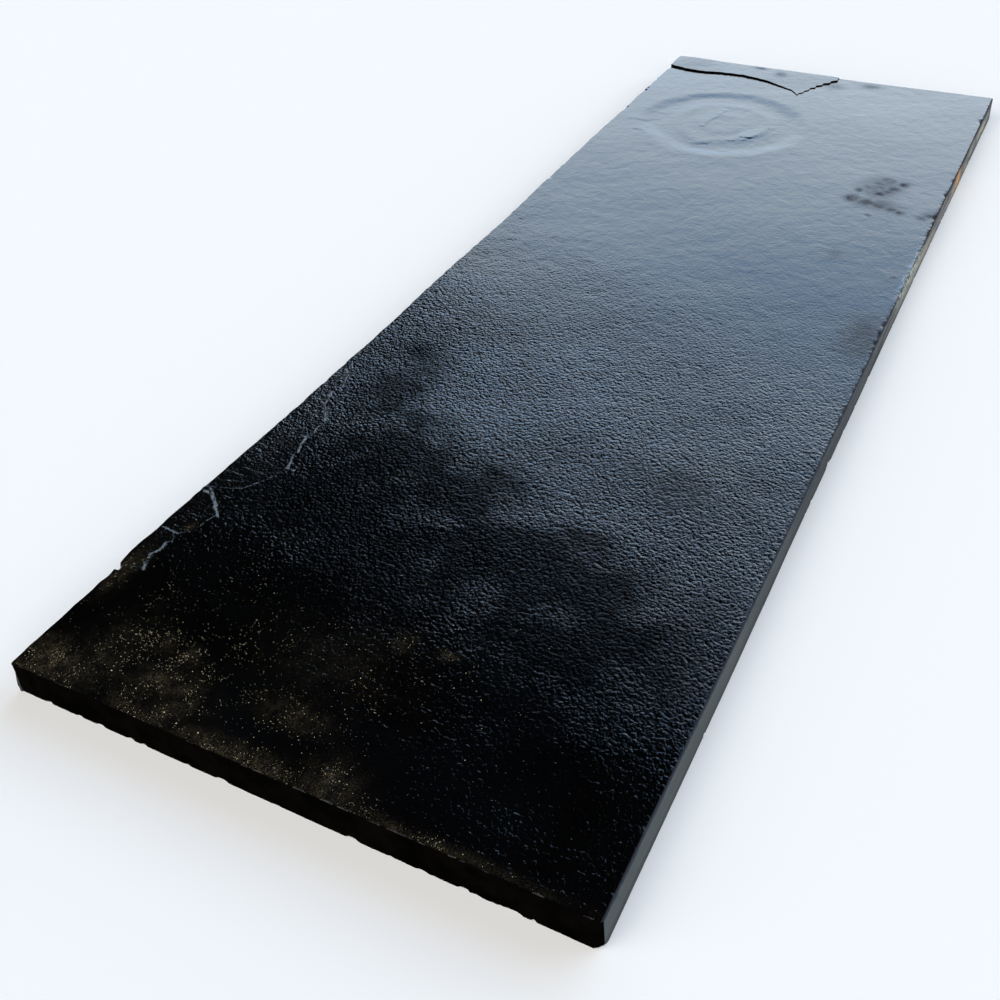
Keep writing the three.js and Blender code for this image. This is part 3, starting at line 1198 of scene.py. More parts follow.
@dataclass
class Marks:
    """Where the slab is dusty, gritty, stained, matt, scarred, bruised, crumbled or rusty."""

    plan: SlabPlan
    dust_cell: float = 0.012
    grit_cell: float = 0.040
    stain_cell: float = 0.010
    stain_tear: float = 0.35
    matt_cell: float = 0.040
    scar_run: float = 0.003
    crumbled_at: float = 1.105
    crumbled_reach: float = 0.085
    crumb_strength: float = 0.75
    crumb_width: float = 0.0075
    crumb_run: float = 0.0030
    crumb_tooth: float = 0.0040
    crumb_cell: float = 0.012
    crumbs_above: float = 0.012
    crumbs_rise: float = 0.012
    wear_strength: float = 0.8
    wear_from: float = 0.3
    wear_rise: float = 0.5
    wear_run: float = 0.0008
    wear_tooth: float = 0.0022
    wear_cell: float = 0.007
    arris_across: float = 0.0022
    arris_down: float = 0.0026
    arris_run: float = 0.0006
    arris_tooth: float = 0.0012
    rust_at: Place = (1.489, 0.020)
    rust_size: Place = (0.019, 0.012)
    noise: SmoothNoise = field(default_factory=lambda: SmoothNoise(29))

    def patchy(
        self, place: Array, patches: Sequence[Blotch], cell: float, tear: float = 0.7
    ) -> Array:
        """Adds up patches and breaks their edges up.

        Args:
            place: The places on the slab.
            patches: The patches.
            cell: How coarse the broken edges are.
            tear: How much the edges are broken.

        Returns:
            From 0 to 1 for each point.
        """
        total = np.zeros(len(place))
        for patch in patches:
            total = np.maximum(total, patch.cover(place))
        torn = self.noise.layered(*place.T, cell)
        return np.clip(total * (1.0 + tear * torn), 0.0, 1.0)

    def on_face(self, place: Array) -> dict[Mark, Array]:
        """Works out the marks of the cleft face.

        Args:
            place: The places on the slab.

        Returns:
            Each mark's strength at each point.
        """
        scar = np.zeros(len(place))
        bruise = np.zeros(len(place))
        for spall in SPALLS:
            depth = spall.depth(place)
            scar = np.maximum(scar, ease(depth / self.scar_run))
        for line in BRUISES:
            bruise = np.maximum(bruise, line.cover(place))
        stain = self.patchy(place, STAINS, self.stain_cell, self.stain_tear)
        return {
            Mark.DUST: self.patchy(place, DUST, self.dust_cell),
            Mark.GRIT: self.patchy(place, GRIT, self.grit_cell),
            Mark.STAIN: np.maximum(stain, self.front_wear(place)),
            Mark.MATT: self.patchy(place, MATT_PATCHES, self.matt_cell),
            Mark.SCAR: scar,
            Mark.BRUISE: np.maximum(bruise, self.crumbs(place)),
            Mark.RUST: np.zeros(len(place)),
        }

    def crumbling(self, place: Array) -> Array:
        """Works out how much of the front edge's arris has crumbled, from 0 to 1 along the slab."""
        return np.exp(-np.power(np.abs(place[:, 0] - self.crumbled_at) / self.crumbled_reach, BLUNT))

    def crumbs(self, place: Array) -> Array:
        """Works out how much of the face is pale and crumbled beside the front edge.

        Args:
            place: The places on the slab.

        Returns:
            From 0 to 1 for each point.
        """
        ragged_side = self.crumb_tooth * self.noise.layered(*place.T, self.crumb_cell)
        out = self.plan.width - place[:, 1]
        beside_edge = ease((self.crumb_width + ragged_side - out) / self.crumb_run)
        return self.crumb_strength * beside_edge * self.crumbling(place)

    def front_wear(self, place: Array) -> Array:
        """Works out how worn the face is along the front edge.

        Args:
            place: The places on the slab.

        Returns:
            From 0 to 1 for each point.
        """
        ragged_side = self.wear_tooth * self.noise.layered(*place.T, self.wear_cell)
        out = self.plan.width - place[:, 1]
        reach = eased_path(place[:, 0], WORN_STRIP)
        beside_edge = ease((reach + ragged_side - out) / self.wear_run)
        return self.wear_strength * beside_edge * ease((place[:, 0] - self.wear_from) / self.wear_rise)

    def on_edges(self, points: Array, place: Array) -> dict[Mark, Array]:
        """Works out the marks of the edge faces.

        Args:
            points: The points in the row frame.
            place: The same points' places on the slab.

        Returns:
            Each mark's strength at each point.
        """
        (near, height), (length, rise) = self.rust_at, self.rust_size
        along, up = (place[:, 0] - near) / length, (points[:, 2] - height) / rise
        none = np.zeros(len(points))
        high = ease((points[:, 2] - self.crumbs_above) / self.crumbs_rise)
        marks = {mark: none for mark in Mark}
        marks[Mark.RUST] = np.exp(-np.square(along) - np.square(up))
        marks[Mark.GRIT] = high * self.crumbling(place)
        marks[Mark.SCAR] = self.arris_wear(points, place)
        marks[Mark.STAIN] = marks[Mark.SCAR]
        return marks

    def arris_wear(self, points: Array, place: Array) -> Array:
        """Works out where the front edge's top arris is worn away.

        Args:
            points: The points in the row frame.
            place: The same points' places on the slab.

        Returns:
            1 on the worn strip, with ragged sides, and 0 elsewhere.
        """
        ragged_side = self.arris_tooth * self.noise.layered(*place.T, self.wear_cell)
        out = self.plan.width - place[:, 1]
        down = self.plan.thickness - points[:, 2]
        strip = ease((self.arris_across + ragged_side - np.maximum(out, 0.0)) / self.arris_run)
        return strip * ease((self.arris_down + ragged_side - down) / self.arris_run)


# ---------------- node laying


@dataclass(frozen=True)
class Mottle:
    """Noise made into patches: how fine it is, between which values it turns, and the results."""

    per_metre: float
    detail: float
    low: float
    high: float
    start: float = 0.0
    stop: float = 1.0
    bend: float = 0.0


class Bench:
    """Lays out the nodes of one material or world."""

    def __init__(self, tree: bpy.types.NodeTree) -> None:
        """Clears the tree, ready for new nodes."""
        self.tree = tree
        tree.nodes.clear()

    def add(self, kind: str, feeds: dict[Any, Any] | None = None, **settings: Any) -> bpy.types.Node:
        """Adds a node.

        Args:
            kind: The node's type.
            feeds: What goes into each input, by name or number: a value or another node's output.
            **settings: The node's own settings.

        Returns:
            The node.
        """
        node = self.tree.nodes.new(kind)
        for name, value in settings.items():
            setattr(node, name, value)
        for name, value in (feeds or {}).items():
            if isinstance(value, bpy.types.NodeSocket):
                self.tree.links.new(value, node.inputs[name])
            else:
                node.inputs[name].default_value = value
        return node

    def noise(self, where: Any, scale: float, detail: float, distortion: float) -> Any:
        """Adds noise, from 0 to 1.

        Args:
            where: The coordinates.
            scale: How many features there are in a metre.
            detail: How many finer layers are added.
            distortion: How much the noise is bent.

        Returns:
            The output.
        """
        feeds = {"Vector": where, "Scale": scale, "Detail": detail, "Distortion": distortion}
        return self.add("ShaderNodeTexNoise", feeds).outputs["Fac"]

    def math(self, operation: str, first: Any, second: Any = 0.0, third: Any = 0.0) -> Any:
        """Adds a sum on numbers and returns its output."""
        feeds = {0: first, 1: second, 2: third}
        return self.add("ShaderNodeMath", feeds, operation=operation).outputs[0]

    def times(self, first: Any, second: Any) -> Any:
        """Multiplies two numbers and returns the output."""
        return self.math("MULTIPLY", first, second)

    def scaled(self, value: Any, factor: Any, more: Any) -> Any:
        """Multiplies a number, adds another and returns the output."""
        return self.math("MULTIPLY_ADD", value, factor, more)

    def larger(self, first: Any, second: Any) -> Any:
        """Picks the larger of two numbers and returns the output."""
        return self.math("MAXIMUM", first, second)

    def span(self, value: Any, low: float, high: float, start: float = 0.0, stop: float = 1.0) -> Any:
        """Maps a range of values smoothly onto another.

        Args:
            value: The value to map.
            low: The value that gives start.
            high: The value that gives stop.
            start: The result at low and below.
            stop: The result at high and above.

        Returns:
            The output.
        """
        feeds = {"Value": value, "From Min": low, "From Max": high, "To Min": start, "To Max": stop}
        node = self.add("ShaderNodeMapRange", feeds, interpolation_type="SMOOTHSTEP")
        return node.outputs["Result"]

    def mottle(self, where: Any, kind: Mottle) -> Any:
        """Adds patches of noise and returns the output."""
        noise = self.noise(where, kind.per_metre, kind.detail, kind.bend)
        return self.span(noise, kind.low, kind.high, kind.start, kind.stop)

    def mix(self, share: Any, first: Any, second: Any) -> Any:
        """Mixes two colours and returns the output."""
        node = self.add("ShaderNodeMix", {0: share, 6: first, 7: second}, data_type="RGBA")
        return node.outputs[2]

    def mark(self, mark: Mark) -> Any:
        """Reads one of the stone's marks and returns the output."""
        return self.add("ShaderNodeAttribute", attribute_name=mark.value).outputs["Fac"]

    def bump(self, height: Any, depth: float, below: Any = None, strength: Any = 1.0) -> Any:
        """Adds relief too fine for the mesh.

        Args:
            height: The relief, from 0 to 1.
            depth: How deep the relief is, in metres.
            below: The relief under this one.
            strength: How much of it shows.

        Returns:
            The surface direction.
        """
        feeds = {"Height": height, "Distance": depth, "Strength": strength}
        if below is not None:
            feeds["Normal"] = below
        return self.add("ShaderNodeBump", feeds).outputs["Normal"]

    def place(self, stretch: Point | None = None) -> Any:
        """Gives the coordinates of the slab in metres, stretched along its axes.

        Args:
            stretch: A factor for each axis, or nothing to keep them as they are.

        Returns:
            The coordinates.
        """
        where = self.add("ShaderNodeTexCoord").outputs["Object"]
        if stretch is None:
            return where
        return self.add("ShaderNodeMapping", {"Vector": where, "Scale": stretch}).outputs["Vector"]


def new_material(name: str) -> tuple[bpy.types.Material, Bench]:
    """Makes an empty material.

    Args:
        name: The material's name.

    Returns:
        The material and the bench to lay its nodes on.
    """
    material = bpy.data.materials.new(name)
    material.use_nodes = True
    return material, Bench(material.node_tree)


def finish_shader(bench: Bench, specular: Any, feeds: dict[str, Any]) -> None:
    """Ends a material in one stone surface.

    Args:
        bench: The bench with the material's nodes.
        specular: How strong the reflection is, 0.5 for polished stone.
        feeds: What goes into the surface's other inputs.
    """
    surface = bench.add("ShaderNodeBsdfPrincipled", {"Specular IOR Level": specular, **feeds})
    bench.add("ShaderNodeOutputMaterial", {"Surface": surface.outputs["BSDF"]})


def tone(red: float, green: float, blue: float) -> Colour:
    """An opaque colour, in linear light."""
    return (red, green, blue, 1.0)


@dataclass(frozen=True)
class CleftFinish:
    """The sealed, dark cleft face, with its pebbled grain, dust, grit and stains."""

    deep: Colour = tone(0.0004, 0.0004, 0.0005)
    slate: Colour = tone(0.0012, 0.0014, 0.0018)
    dust: Colour = tone(0.062, 0.048, 0.027)
    dim_grit: Colour = tone(0.150, 0.124, 0.072)
    bright_grit: Colour = tone(0.74, 0.62, 0.38)
    bruise: Colour = tone(0.16, 0.19, 0.22)
    scar: Colour = tone(0.0040, 0.0038, 0.0030)
    stain: Colour = tone(0.030, 0.029, 0.037)
    broad: Mottle = Mottle(7.0, 4.0, 0.32, 0.68, bend=0.6)
    dust_clouds: Mottle = Mottle(75.0, 4.0, 0.30, 0.66, 0.25)
    dust_grains: Mottle = Mottle(620.0, 3.0, 0.40, 0.64, 0.12)
    scar_share: float = 0.3
    stain_share: float = 0.8
    specks_per_metre: Sequence[Range] = ((900.0, 0.30), (560.0, 0.08))
    speck_patches: Mottle = Mottle(48.0, 4.0, 0.36, 0.64, 0.05, 1.7)
    least_speck: float = 0.12
    speck_spread: float = 0.26
    speck_contrast: float = 2.4
    fibres: Grain = (720.0, 3.0, 0.0)
    fibre_swing: float = 2.8
    fibre_level: float = -1.45
    fibre_gaps: Mottle = Mottle(110.0, 2.0, 0.40, 0.58, 0.40, 0.95)
    struck: Range = (0.28, 0.66)
    least_bruise: float = 0.02
    polish: Mottle = Mottle(28.0, 5.0, 0.3, 0.7, 0.06, 0.11)
    stain_grain: Mottle = Mottle(420.0, 2.0, 0.3, 0.6, 0.75)
    stain_roughness: float = 0.50
    dust_roughness: float = 0.14
    shine: float = 0.5
    stain_dulling: float = -0.60
    matt_dulling: float = -0.45
    least_shine: float = 0.02
    pebbles_per_metre: float = 255.0
    pebble_depth: float = 0.00092
    pebble_power: float = 1.9
    bends_per_metre: float = 190.0
    bend: Point = (0.005, 0.005, 0.0)
    wrinkles: Grain = (400.0, 2.5, 0.2)
    wrinkle_depth: float = 0.00070
    heave: Grain = (45.0, 5.0, 0.4)
    heave_depth: float = 0.00060
    ridge_stretch: Point = (220.0, 45.0, 220.0)
    ridges: Grain = (1.0, 4.0, 0.0)
    ridge_depth: float = 0.0006
    ridge_share: float = 0.8
    calm: Mottle = Mottle(11.0, 2.0, 0.35, 0.65, 0.75)
    near_wear: Fade = (-0.82, -0.60, 0.45, 1.0)
    far_wear: Fade = (-0.42, 0.16, 1.0, 0.10)

    def build(self) -> bpy.types.Material:
        """Makes the material.

        Returns:
            The material.
        """
        material, bench = new_material("cleft face")
        where = bench.place()
        dust, grit = bench.mark(Mark.DUST), bench.mark(Mark.GRIT)
        stain, scar, bruise = bench.mark(Mark.STAIN), bench.mark(Mark.SCAR), bench.mark(Mark.BRUISE)
        stone = bench.mix(bench.mottle(where, self.broad), self.deep, self.slate)
        fresh = bench.times(scar, self.scar_share)
        stone = bench.mix(fresh, stone, self.scar)
        stone = bench.mix(bench.times(stain, self.stain_share), stone, self.stain)
        settled = bench.times(dust, bench.mottle(where, self.dust_clouds))
        settled = bench.times(settled, bench.mottle(where, self.dust_grains))
        stone = bench.mix(settled, stone, self.dust)
        gritty = bench.larger(grit, dust)
        for scale, share in self.specks_per_metre:
            speck, colour = self.specks(bench, where, gritty, scale, share)
            stone = bench.mix(speck, stone, colour)
        fibres = bench.scaled(bench.noise(where, *self.fibres), self.fibre_swing, self.fibre_level)
        struck = bench.scaled(bruise, bench.mottle(where, self.fibre_gaps), fibres)
        bruised = bench.math("GREATER_THAN", bruise, self.least_bruise)
        stone = bench.mix(bench.times(bench.span(struck, *self.struck), bruised), stone, self.bruise)
        stained = bench.times(stain, bench.mottle(where, self.stain_grain))
        rough = bench.scaled(stained, self.stain_roughness, bench.mottle(where, self.polish))
        rough = bench.scaled(bench.larger(fresh, dust), self.dust_roughness, rough)
        shine = bench.scaled(stained, self.stain_dulling, self.shine)
        shine = bench.scaled(bench.mark(Mark.MATT), self.matt_dulling, shine)
        shine = bench.larger(shine, self.least_shine)
        relief = self.relief(bench, where, scar)
        finish_shader(bench, shine, {"Base Color": stone, "Roughness": rough, "Normal": relief})
        return material

    def specks(self, bench: Bench, where: Any, grit: Any, scale: float, share: float) -> tuple[Any, Any]:
        """Scatters mineral specks where the face is gritty.

        Args:
            bench: The bench with the material's nodes.
            where: The coordinates.
            grit: How gritty the face is.
            scale: How many cells there are in a metre, with up to one speck in each.
            share: The share of cells with a speck where the face is grittiest.

        Returns:
            How much of a speck there is, and its colour.
        """
        cells = bench.add("ShaderNodeTexVoronoi", {"Vector": where, "Scale": scale})
        chance = bench.add("ShaderNodeSeparateColor", {"Color": cells.outputs["Color"]})
        patchy = bench.mottle(where, self.speck_patches)
        rare = bench.scaled(bench.times(grit, patchy), -share, 1.0)
        kept = bench.math("GREATER_THAN", chance.outputs[0], rare)
        reach = bench.scaled(chance.outputs[1], self.speck_spread, self.least_speck)
        near = bench.math("LESS_THAN", cells.outputs["Distance"], reach)
        bright = bench.math("POWER", chance.outputs[2], self.speck_contrast)
        return bench.times(kept, near), bench.mix(bright, self.dim_grit, self.bright_grit)

    def relief(self, bench: Bench, where: Any, scar: Any) -> Any:
        """Lays the pebbled relief over the face, worn smoother toward the far end.

        Args:
            bench: The bench with the material's nodes.
            where: The coordinates.
            scar: Where the face is freshly broken.

        Returns:
            The surface direction.
        """
        along = bench.add("ShaderNodeSeparateXYZ", {"Vector": where}).outputs["X"]
        worn = bench.times(bench.span(along, *self.far_wear), bench.span(along, *self.near_wear))
        strength = bench.times(worn, bench.mottle(where, self.calm))
        bends = bench.add(
            "ShaderNodeTexNoise", {"Vector": where, "Scale": self.bends_per_metre, "Detail": 1.0}
        )
        shift = bench.add(
            "ShaderNodeVectorMath",
            {0: bends.outputs["Color"], 1: self.bend, 2: where},
            operation="MULTIPLY_ADD",
        )
        feeds = {"Vector": shift.outputs[0], "Scale": self.pebbles_per_metre}
        cells = bench.add("ShaderNodeTexVoronoi", feeds)
        pebbles = bench.times(bench.math("POWER", cells.outputs["Distance"], self.pebble_power), -1.0)
        wrinkles = bench.noise(where, *self.wrinkles)
        heave = bench.bump(bench.noise(where, *self.heave), self.heave_depth)
        coarse = bench.bump(pebbles, self.pebble_depth, heave, strength)
        face = bench.bump(wrinkles, self.wrinkle_depth, coarse, strength)
        ridges = bench.noise(bench.place(self.ridge_stretch), *self.ridges)
        return bench.bump(ridges, self.ridge_depth, face, bench.times(scar, self.ridge_share))


@dataclass(frozen=True)
class SawnFinish:
    """The sawn front edge: dry grey-blue stone with tan streaks and one rust spot, with painted shade
    darkening its foot and, toward the far end, the band under its top arris.
    """

    near_grey: Colour = tone(0.064, 0.074, 0.074)
    middle_grey: Colour = tone(0.040, 0.045, 0.050)
    grey: Colour = tone(0.080, 0.086, 0.090)
    # Painted shade: the dark tone laid over the face near its foot and in the band under the top arris.
    foot: Colour = tone(0.030, 0.031, 0.032)
    pale: Colour = tone(0.190, 0.192, 0.188)
    arris: Colour = tone(0.026, 0.034, 0.044)
    far_arris: Colour = tone(0.020, 0.014, 0.012)
    crumb: Colour = tone(0.400, 0.420, 0.350)
    tan: Colour = tone(0.360, 0.310, 0.225)
    rust: Colour = tone(0.620, 0.270, 0.050)
    specular: float = 0.12
    roughness: float = 0.78
    to_middle: Range = (-0.62, -0.34)
    to_far: Range = (0.08, 0.22)
    streak_stretch: Point = (9.0, 60.0, 130.0)
    streaks: Mottle = Mottle(1.0, 5.0, 0.35, 0.68)
    streaks_from: Fade = (0.05, 0.24, 0.12, 1.0)
    tan_stretch: Point = (14.0, 60.0, 90.0)
    tan_streaks: Mottle = Mottle(1.0, 5.0, 0.46, 0.60)
    tan_from: Range = (-0.2, 0.6)
    foot_shade: Fade = (0.005, 0.015, 0.6, 0.0)
    top_shade: Fade = (0.021, 0.031, 0.0, 0.5)
    top_shade_from: Range = (0.15, 0.4)
    arris_turns: Range = (0.0, 0.35)
    crumb_patches: Mottle = Mottle(130.0, 4.0, 0.42, 0.58)
    grains: Grain = (600.0, 3.0, 0.0)
    line_stretch: Point = (30.0, 60.0, 900.0)
    lines: Grain = (1.0, 3.0, 0.0)
    relief_depth: float = 0.00012

    def build(self) -> bpy.types.Material:
        """Makes the material.

        Returns:
            The material.
        """
        material, bench = new_material("sawn edge")
        where = bench.place()
        parts = bench.add("ShaderNodeSeparateXYZ", {"Vector": where})
        along, up = parts.outputs["X"], parts.outputs["Z"]
        grey = bench.mix(bench.span(along, *self.to_middle), self.near_grey, self.middle_grey)
        grey = bench.mix(bench.span(along, *self.to_far), grey, self.grey)
        pale = bench.mottle(bench.place(self.streak_stretch), self.streaks)
        stone = bench.mix(bench.times(pale, bench.span(along, *self.streaks_from)), grey, self.pale)
        tan = bench.mottle(bench.place(self.tan_stretch), self.tan_streaks)
        stone = bench.mix(bench.times(bench.span(along, *self.tan_from), tan), stone, self.tan)
        # Painted shade: darkens the band under the top arris toward the far end, and the foot near the
        # floor.
        shade = bench.times(bench.span(up, *self.top_shade), bench.span(along, *self.top_shade_from))
        shade = bench.larger(shade, bench.span(up, *self.foot_shade))
        stone = bench.mix(shade, stone, self.foot)
        arris = bench.mix(bench.span(along, *self.arris_turns), self.arris, self.far_arris)
        stone = bench.mix(bench.mark(Mark.SCAR), stone, arris)
        crumbs = bench.times(bench.mark(Mark.GRIT), bench.mottle(where, self.crumb_patches))
        stone = bench.mix(crumbs, stone, self.crumb)
        stone = bench.mix(bench.mark(Mark.RUST), stone, self.rust)
        grain = bench.bump(bench.noise(where, *self.grains), self.relief_depth)
        lines = bench.noise(bench.place(self.line_stretch), *self.lines)
        relief = bench.bump(lines, self.relief_depth, grain)
        feeds = {"Base Color": stone, "Roughness": self.roughness, "Normal": relief}
        finish_shader(bench, self.specular, feeds)
        return material


@dataclass(frozen=True)
class Seams:
    """The level bedding seams that show in a broken face."""

    colour: Colour
    stretch: Point
    bands: Grain
    cover: Fade
    depth: float


@dataclass(frozen=True)
class RoughFinish:
    """Rough stone in two tones, with or without seams."""

    name: str
    dark: Colour
    light: Colour
    patches: Mottle
    bumps: Grain
    bump_depth: float
    specular: float
    roughness: float
    seams: Seams | None = None

    def build(self) -> bpy.types.Material:
        """Makes the material.

        Returns:
            The material.
        """
        material, bench = new_material(self.name)
        where = bench.place()
        stone = bench.mix(bench.mottle(where, self.patches), self.dark, self.light)
        relief = bench.bump(bench.noise(where, *self.bumps), self.bump_depth)
        if self.seams:
            bands = bench.noise(bench.place(self.seams.stretch), *self.seams.bands)
            stone = bench.mix(bench.span(bands, *self.seams.cover), stone, self.seams.colour)
            relief = bench.bump(bands, self.seams.depth, relief)
        feeds = {"Base Color": stone, "Roughness": self.roughness, "Normal": relief}
        finish_shader(bench, self.specular, feeds)
        return material


# Near-black stone with no reflection, for the sawn ends and the leaf's riser. On the ends it is the
# stone's own dark colour, with painted shade where their reflection is taken away; on the riser it is
# painted shade.
DARK_END_PAINTED_SHADE = RoughFinish(
    name="dark end painted shade",
    dark=tone(0.0008, 0.0007, 0.0006),
    light=tone(0.0022, 0.0018, 0.0013),
    patches=Mottle(40.0, 5.0, 0.35, 0.7),
    bumps=(170.0, 5.0, 0.0),
    bump_depth=0.0009,
    specular=0.0,
    roughness=0.85,
)
# Painted shade: the leaf's riser is made near-black and without reflection, standing in for its shadow.
RISER_PAINTED_SHADE = replace(DARK_END_PAINTED_SHADE, name="riser painted shade")

TRIMMED_EDGE = RoughFinish(
    name="trimmed edge",
    dark=tone(0.012, 0.013, 0.016),
    light=tone(0.050, 0.054, 0.062),
    patches=Mottle(60.0, 6.0, 0.3, 0.7),
    bumps=(150.0, 6.0, 0.0),
    bump_depth=0.0022,
    specular=0.3,
    roughness=0.8,
    seams=Seams(
        colour=tone(0.045, 0.034, 0.022),
        stretch=(12.0, 12.0, 260.0),
        bands=(1.0, 4.0, 0.0),
        cover=(0.56, 0.70, 0.0, 0.7),
        depth=0.0012,
    ),
)

DRY_UNDERSIDE = RoughFinish(
    name="underside",
    dark=tone(0.070, 0.076, 0.086),
    light=tone(0.150, 0.155, 0.160),
    patches=Mottle(9.0, 6.0, 0.35, 0.7),
    bumps=(240.0, 5.0, 0.0),
    bump_depth=0.0006,
    specular=0.2,
    roughness=0.85,
)


# ---------------- the tread


@dataclass
class Tread:
    """The slab, as one closed mesh with a finish for each of its faces."""

    plan: SlabPlan
    seed: int = 7
    cell: float = 0.0046
    jitter: float = 0.16
    arris: float = 0.0010
    back_arris: float = 0.0010
    brim: float = 0.0014
    underside_cell: float = 0.035
    underside_margin: float = 0.014
    courses: Sequence[float] = (0.05, 0.12, 0.22, 0.35, 0.50, 0.65, 0.80, 0.92)
    line_margin: float = 0.0008
    grid_margin: float = 0.0016
    line_gap: float = 0.0014
    bruise_gap: float = 0.0005
    grid_gap: float = 0.0016
    longest_edge: float = 0.006
    fine_at: Place = (1.345, 0.512)
    fine_half: Place = (0.072, 0.050)
    fine_cell: float = 0.0023
    riser_shares: Range = (0.05, 0.95)
    sharp_angle: float = 42.0
    gone: float = 0.0006
    top_slopes: Sequence[float] = (-2.0, -1.0, -0.8)
    foot_slope: float = 0.8
    face: CleftFace = field(init=False)
    edges: EdgeWork = field(init=False)
    marks: Marks = field(init=False)

    def __post_init__(self) -> None:
        """Prepares the face, the edges and the marks."""
        self.face = CleftFace(self.plan)
        self.edges = EdgeWork(self.plan)
        self.marks = Marks(self.plan)

    def build(self) -> bpy.types.Object:
        """Builds and dresses the slab.

        Returns:
            The slab's object, riding on the root body.
        """
        rings, sides = self.edge_rings()
        top, top_faces, top_ring = self.lay_face(rings[0])
        under, under_faces, under_ring = self.lay_underside(rings[-1])
        count = len(rings[0])
        wall = rings[1:-1]
        starts = [len(top) + index * count for index in range(len(wall))]
        under_start = len(top) + len(wall) * count
        loops = [top_ring, *(start + np.arange(count) for start in starts), under_start + under_ring]
        faces = [*top_faces.tolist(), *(under_start + under_faces[:, ::-1]).tolist()]
        slots = self.face_slots(top, top_faces) + [Side.UNDERSIDE.value] * len(under_faces)
        for index, (upper, lower) in enumerate(zip(loops[:-1], loops[1:])):
            quads = np.stack([lower, np.roll(lower, -1), np.roll(upper, -1), upper], axis=1)
            faces += quads.tolist()
            slots += [Side.CLEFT.value] * count if index < 1 else sides.tolist()
        points = np.concatenate([top, *wall, under])
        inward = self.ways_in(points, len(top), len(wall), count)
        points, chipped = self.chip(points, inward)
        mesh = bpy.data.meshes.new("bluestone_tread")
        mesh.from_pydata(points.tolist(), [], faces)
        mesh.polygons.foreach_set("material_index", slots)
        mesh.shade_smooth()
        mesh.set_sharp_from_angle(angle=math.radians(self.sharp_angle))
        self.mark(mesh, points, len(top), chipped)
        mesh.validate()
        return self.dress(mesh)

    def face_slots(self, points: Array, faces: Array) -> list[int]:
        """Chooses the finish of each triangle of the top.

        Args:
            points: The top's points.
            faces: Its triangles.

        Returns:
            The material slot of each triangle: the leaf's riser takes the near-black finish that paints
                its shade, the rest is cleft.
        """
        middle = points[faces].mean(axis=1)
        depth = self.face.leaf.depth(self.plan.place(middle))
        low, high = (share * self.face.leaf.riser for share in self.riser_shares)
        riser = (depth > low) & (depth < high)
        return np.where(riser, Side.RISER_SHADE.value, Side.CLEFT.value).tolist()

    def edge_rings(self) -> tuple[list[Array], Array]:
        """Lays the rings of points down the edge faces.

        Returns:
            The rings from the top to the underside, and the side of each point round them.
        """
        outline, inward, sides = self.edges.outline()
        arris = np.where(sides == Side.TRIMMED.value, self.back_arris, self.arris)
        brim = self.face.height(self.plan.place(outline + inward * arris[:, None]))
        rings = [
            self.ring(outline + inward * (share * arris)[:, None], brim - drop * arris)
            for share, drop in ((1.0, 0.0), (0.5, 0.5), (0.0, 1.0))
        ]
        inner = outline + inward * (arris + self.brim)[:, None]
        rings.insert(0, self.ring(inner, self.face.height(self.plan.place(inner))))
        foot = self.arris
        for course in self.courses:
            height = (brim - arris) * (1.0 - course) + foot * course
            bite = self.edges.bite(outline, sides, height)
            rings.append(self.ring(outline + inward * bite[:, None], height))
        bite = self.edges.bite(outline, sides, np.zeros(len(outline)))
        for inset, height in ((0.0, foot), (foot, 0.0)):
            place = outline + inward * (bite + inset)[:, None]
            rings.append(self.ring(place, np.full(len(outline), height)))
        return rings, sides

    @staticmethod
    def ring(place: Array, height: Array) -> Array:
        """Joins places and heights into points."""
        return np.column_stack([place, height])

    def lay_face(self, ring: Array) -> tuple[Array, Array, Array]:
        """Fills the top with triangles that follow its breaks.

        Args:
            ring: The ring of points round the top.

        Returns:
            The points, the triangles, and where the ring's points are among the points.
        """
        lines = [self.plan.point(line) for line in self.face.break_lines()]
        margin = self.arris + self.brim + self.line_margin
        kept_lines = [line[self.edges.is_within(line, margin)] for line in lines]
        drawn = np.concatenate(kept_lines)
        struck = self.plan.point(self.face.bruise_points())
        struck = struck[self.edges.is_within(struck, margin)]
        grid = self.scatter(ring)
        for line in kept_lines:
            if len(line) > 1:
                grid = clear_of(grid, line, self.line_gap)
                struck = clear_of(struck, line, self.bruise_gap)
        grid = clear_of(grid, struck, self.grid_gap)
        edges = []
        start = len(ring)
        for line in kept_lines:
            gaps = np.linalg.norm(np.diff(line, axis=0), axis=1)
            edges += [(start + i, start + i + 1) for i, gap in enumerate(gaps) if gap < self.longest_edge]
            start += len(line)
        flat, faces, where = fill(ring[:, :2], np.concatenate([drawn, struck, grid]), edges)
        place = self.plan.place(flat)
        height = self.face.height(place) - sum(pit.rise(place) for pit in PITS)
        return np.column_stack([flat, height]), faces, where

    def scatter(self, ring: Array) -> Array:
        """Scatters the face's points in staggered rows, closer together where the stains are.

        Args:
            ring: The ring of points round the top.

        Returns:
            Points inside the ring, a little off their rows.
        """
        low, high = ring[:, :2].min(axis=0), ring[:, :2].max(axis=0)
        grid = self.staggered(low, high, self.cell)
        middle, reach = self.plan.point(np.array([self.fine_at]))[0], np.array(self.fine_half)
        grid = grid[(np.abs(grid - middle) > reach).any(axis=1)]
        grid = np.concatenate([grid, self.staggered(middle - reach, middle + reach, self.fine_cell)])
        return grid[self.edges.is_within(grid, self.arris + self.brim + self.grid_margin)]

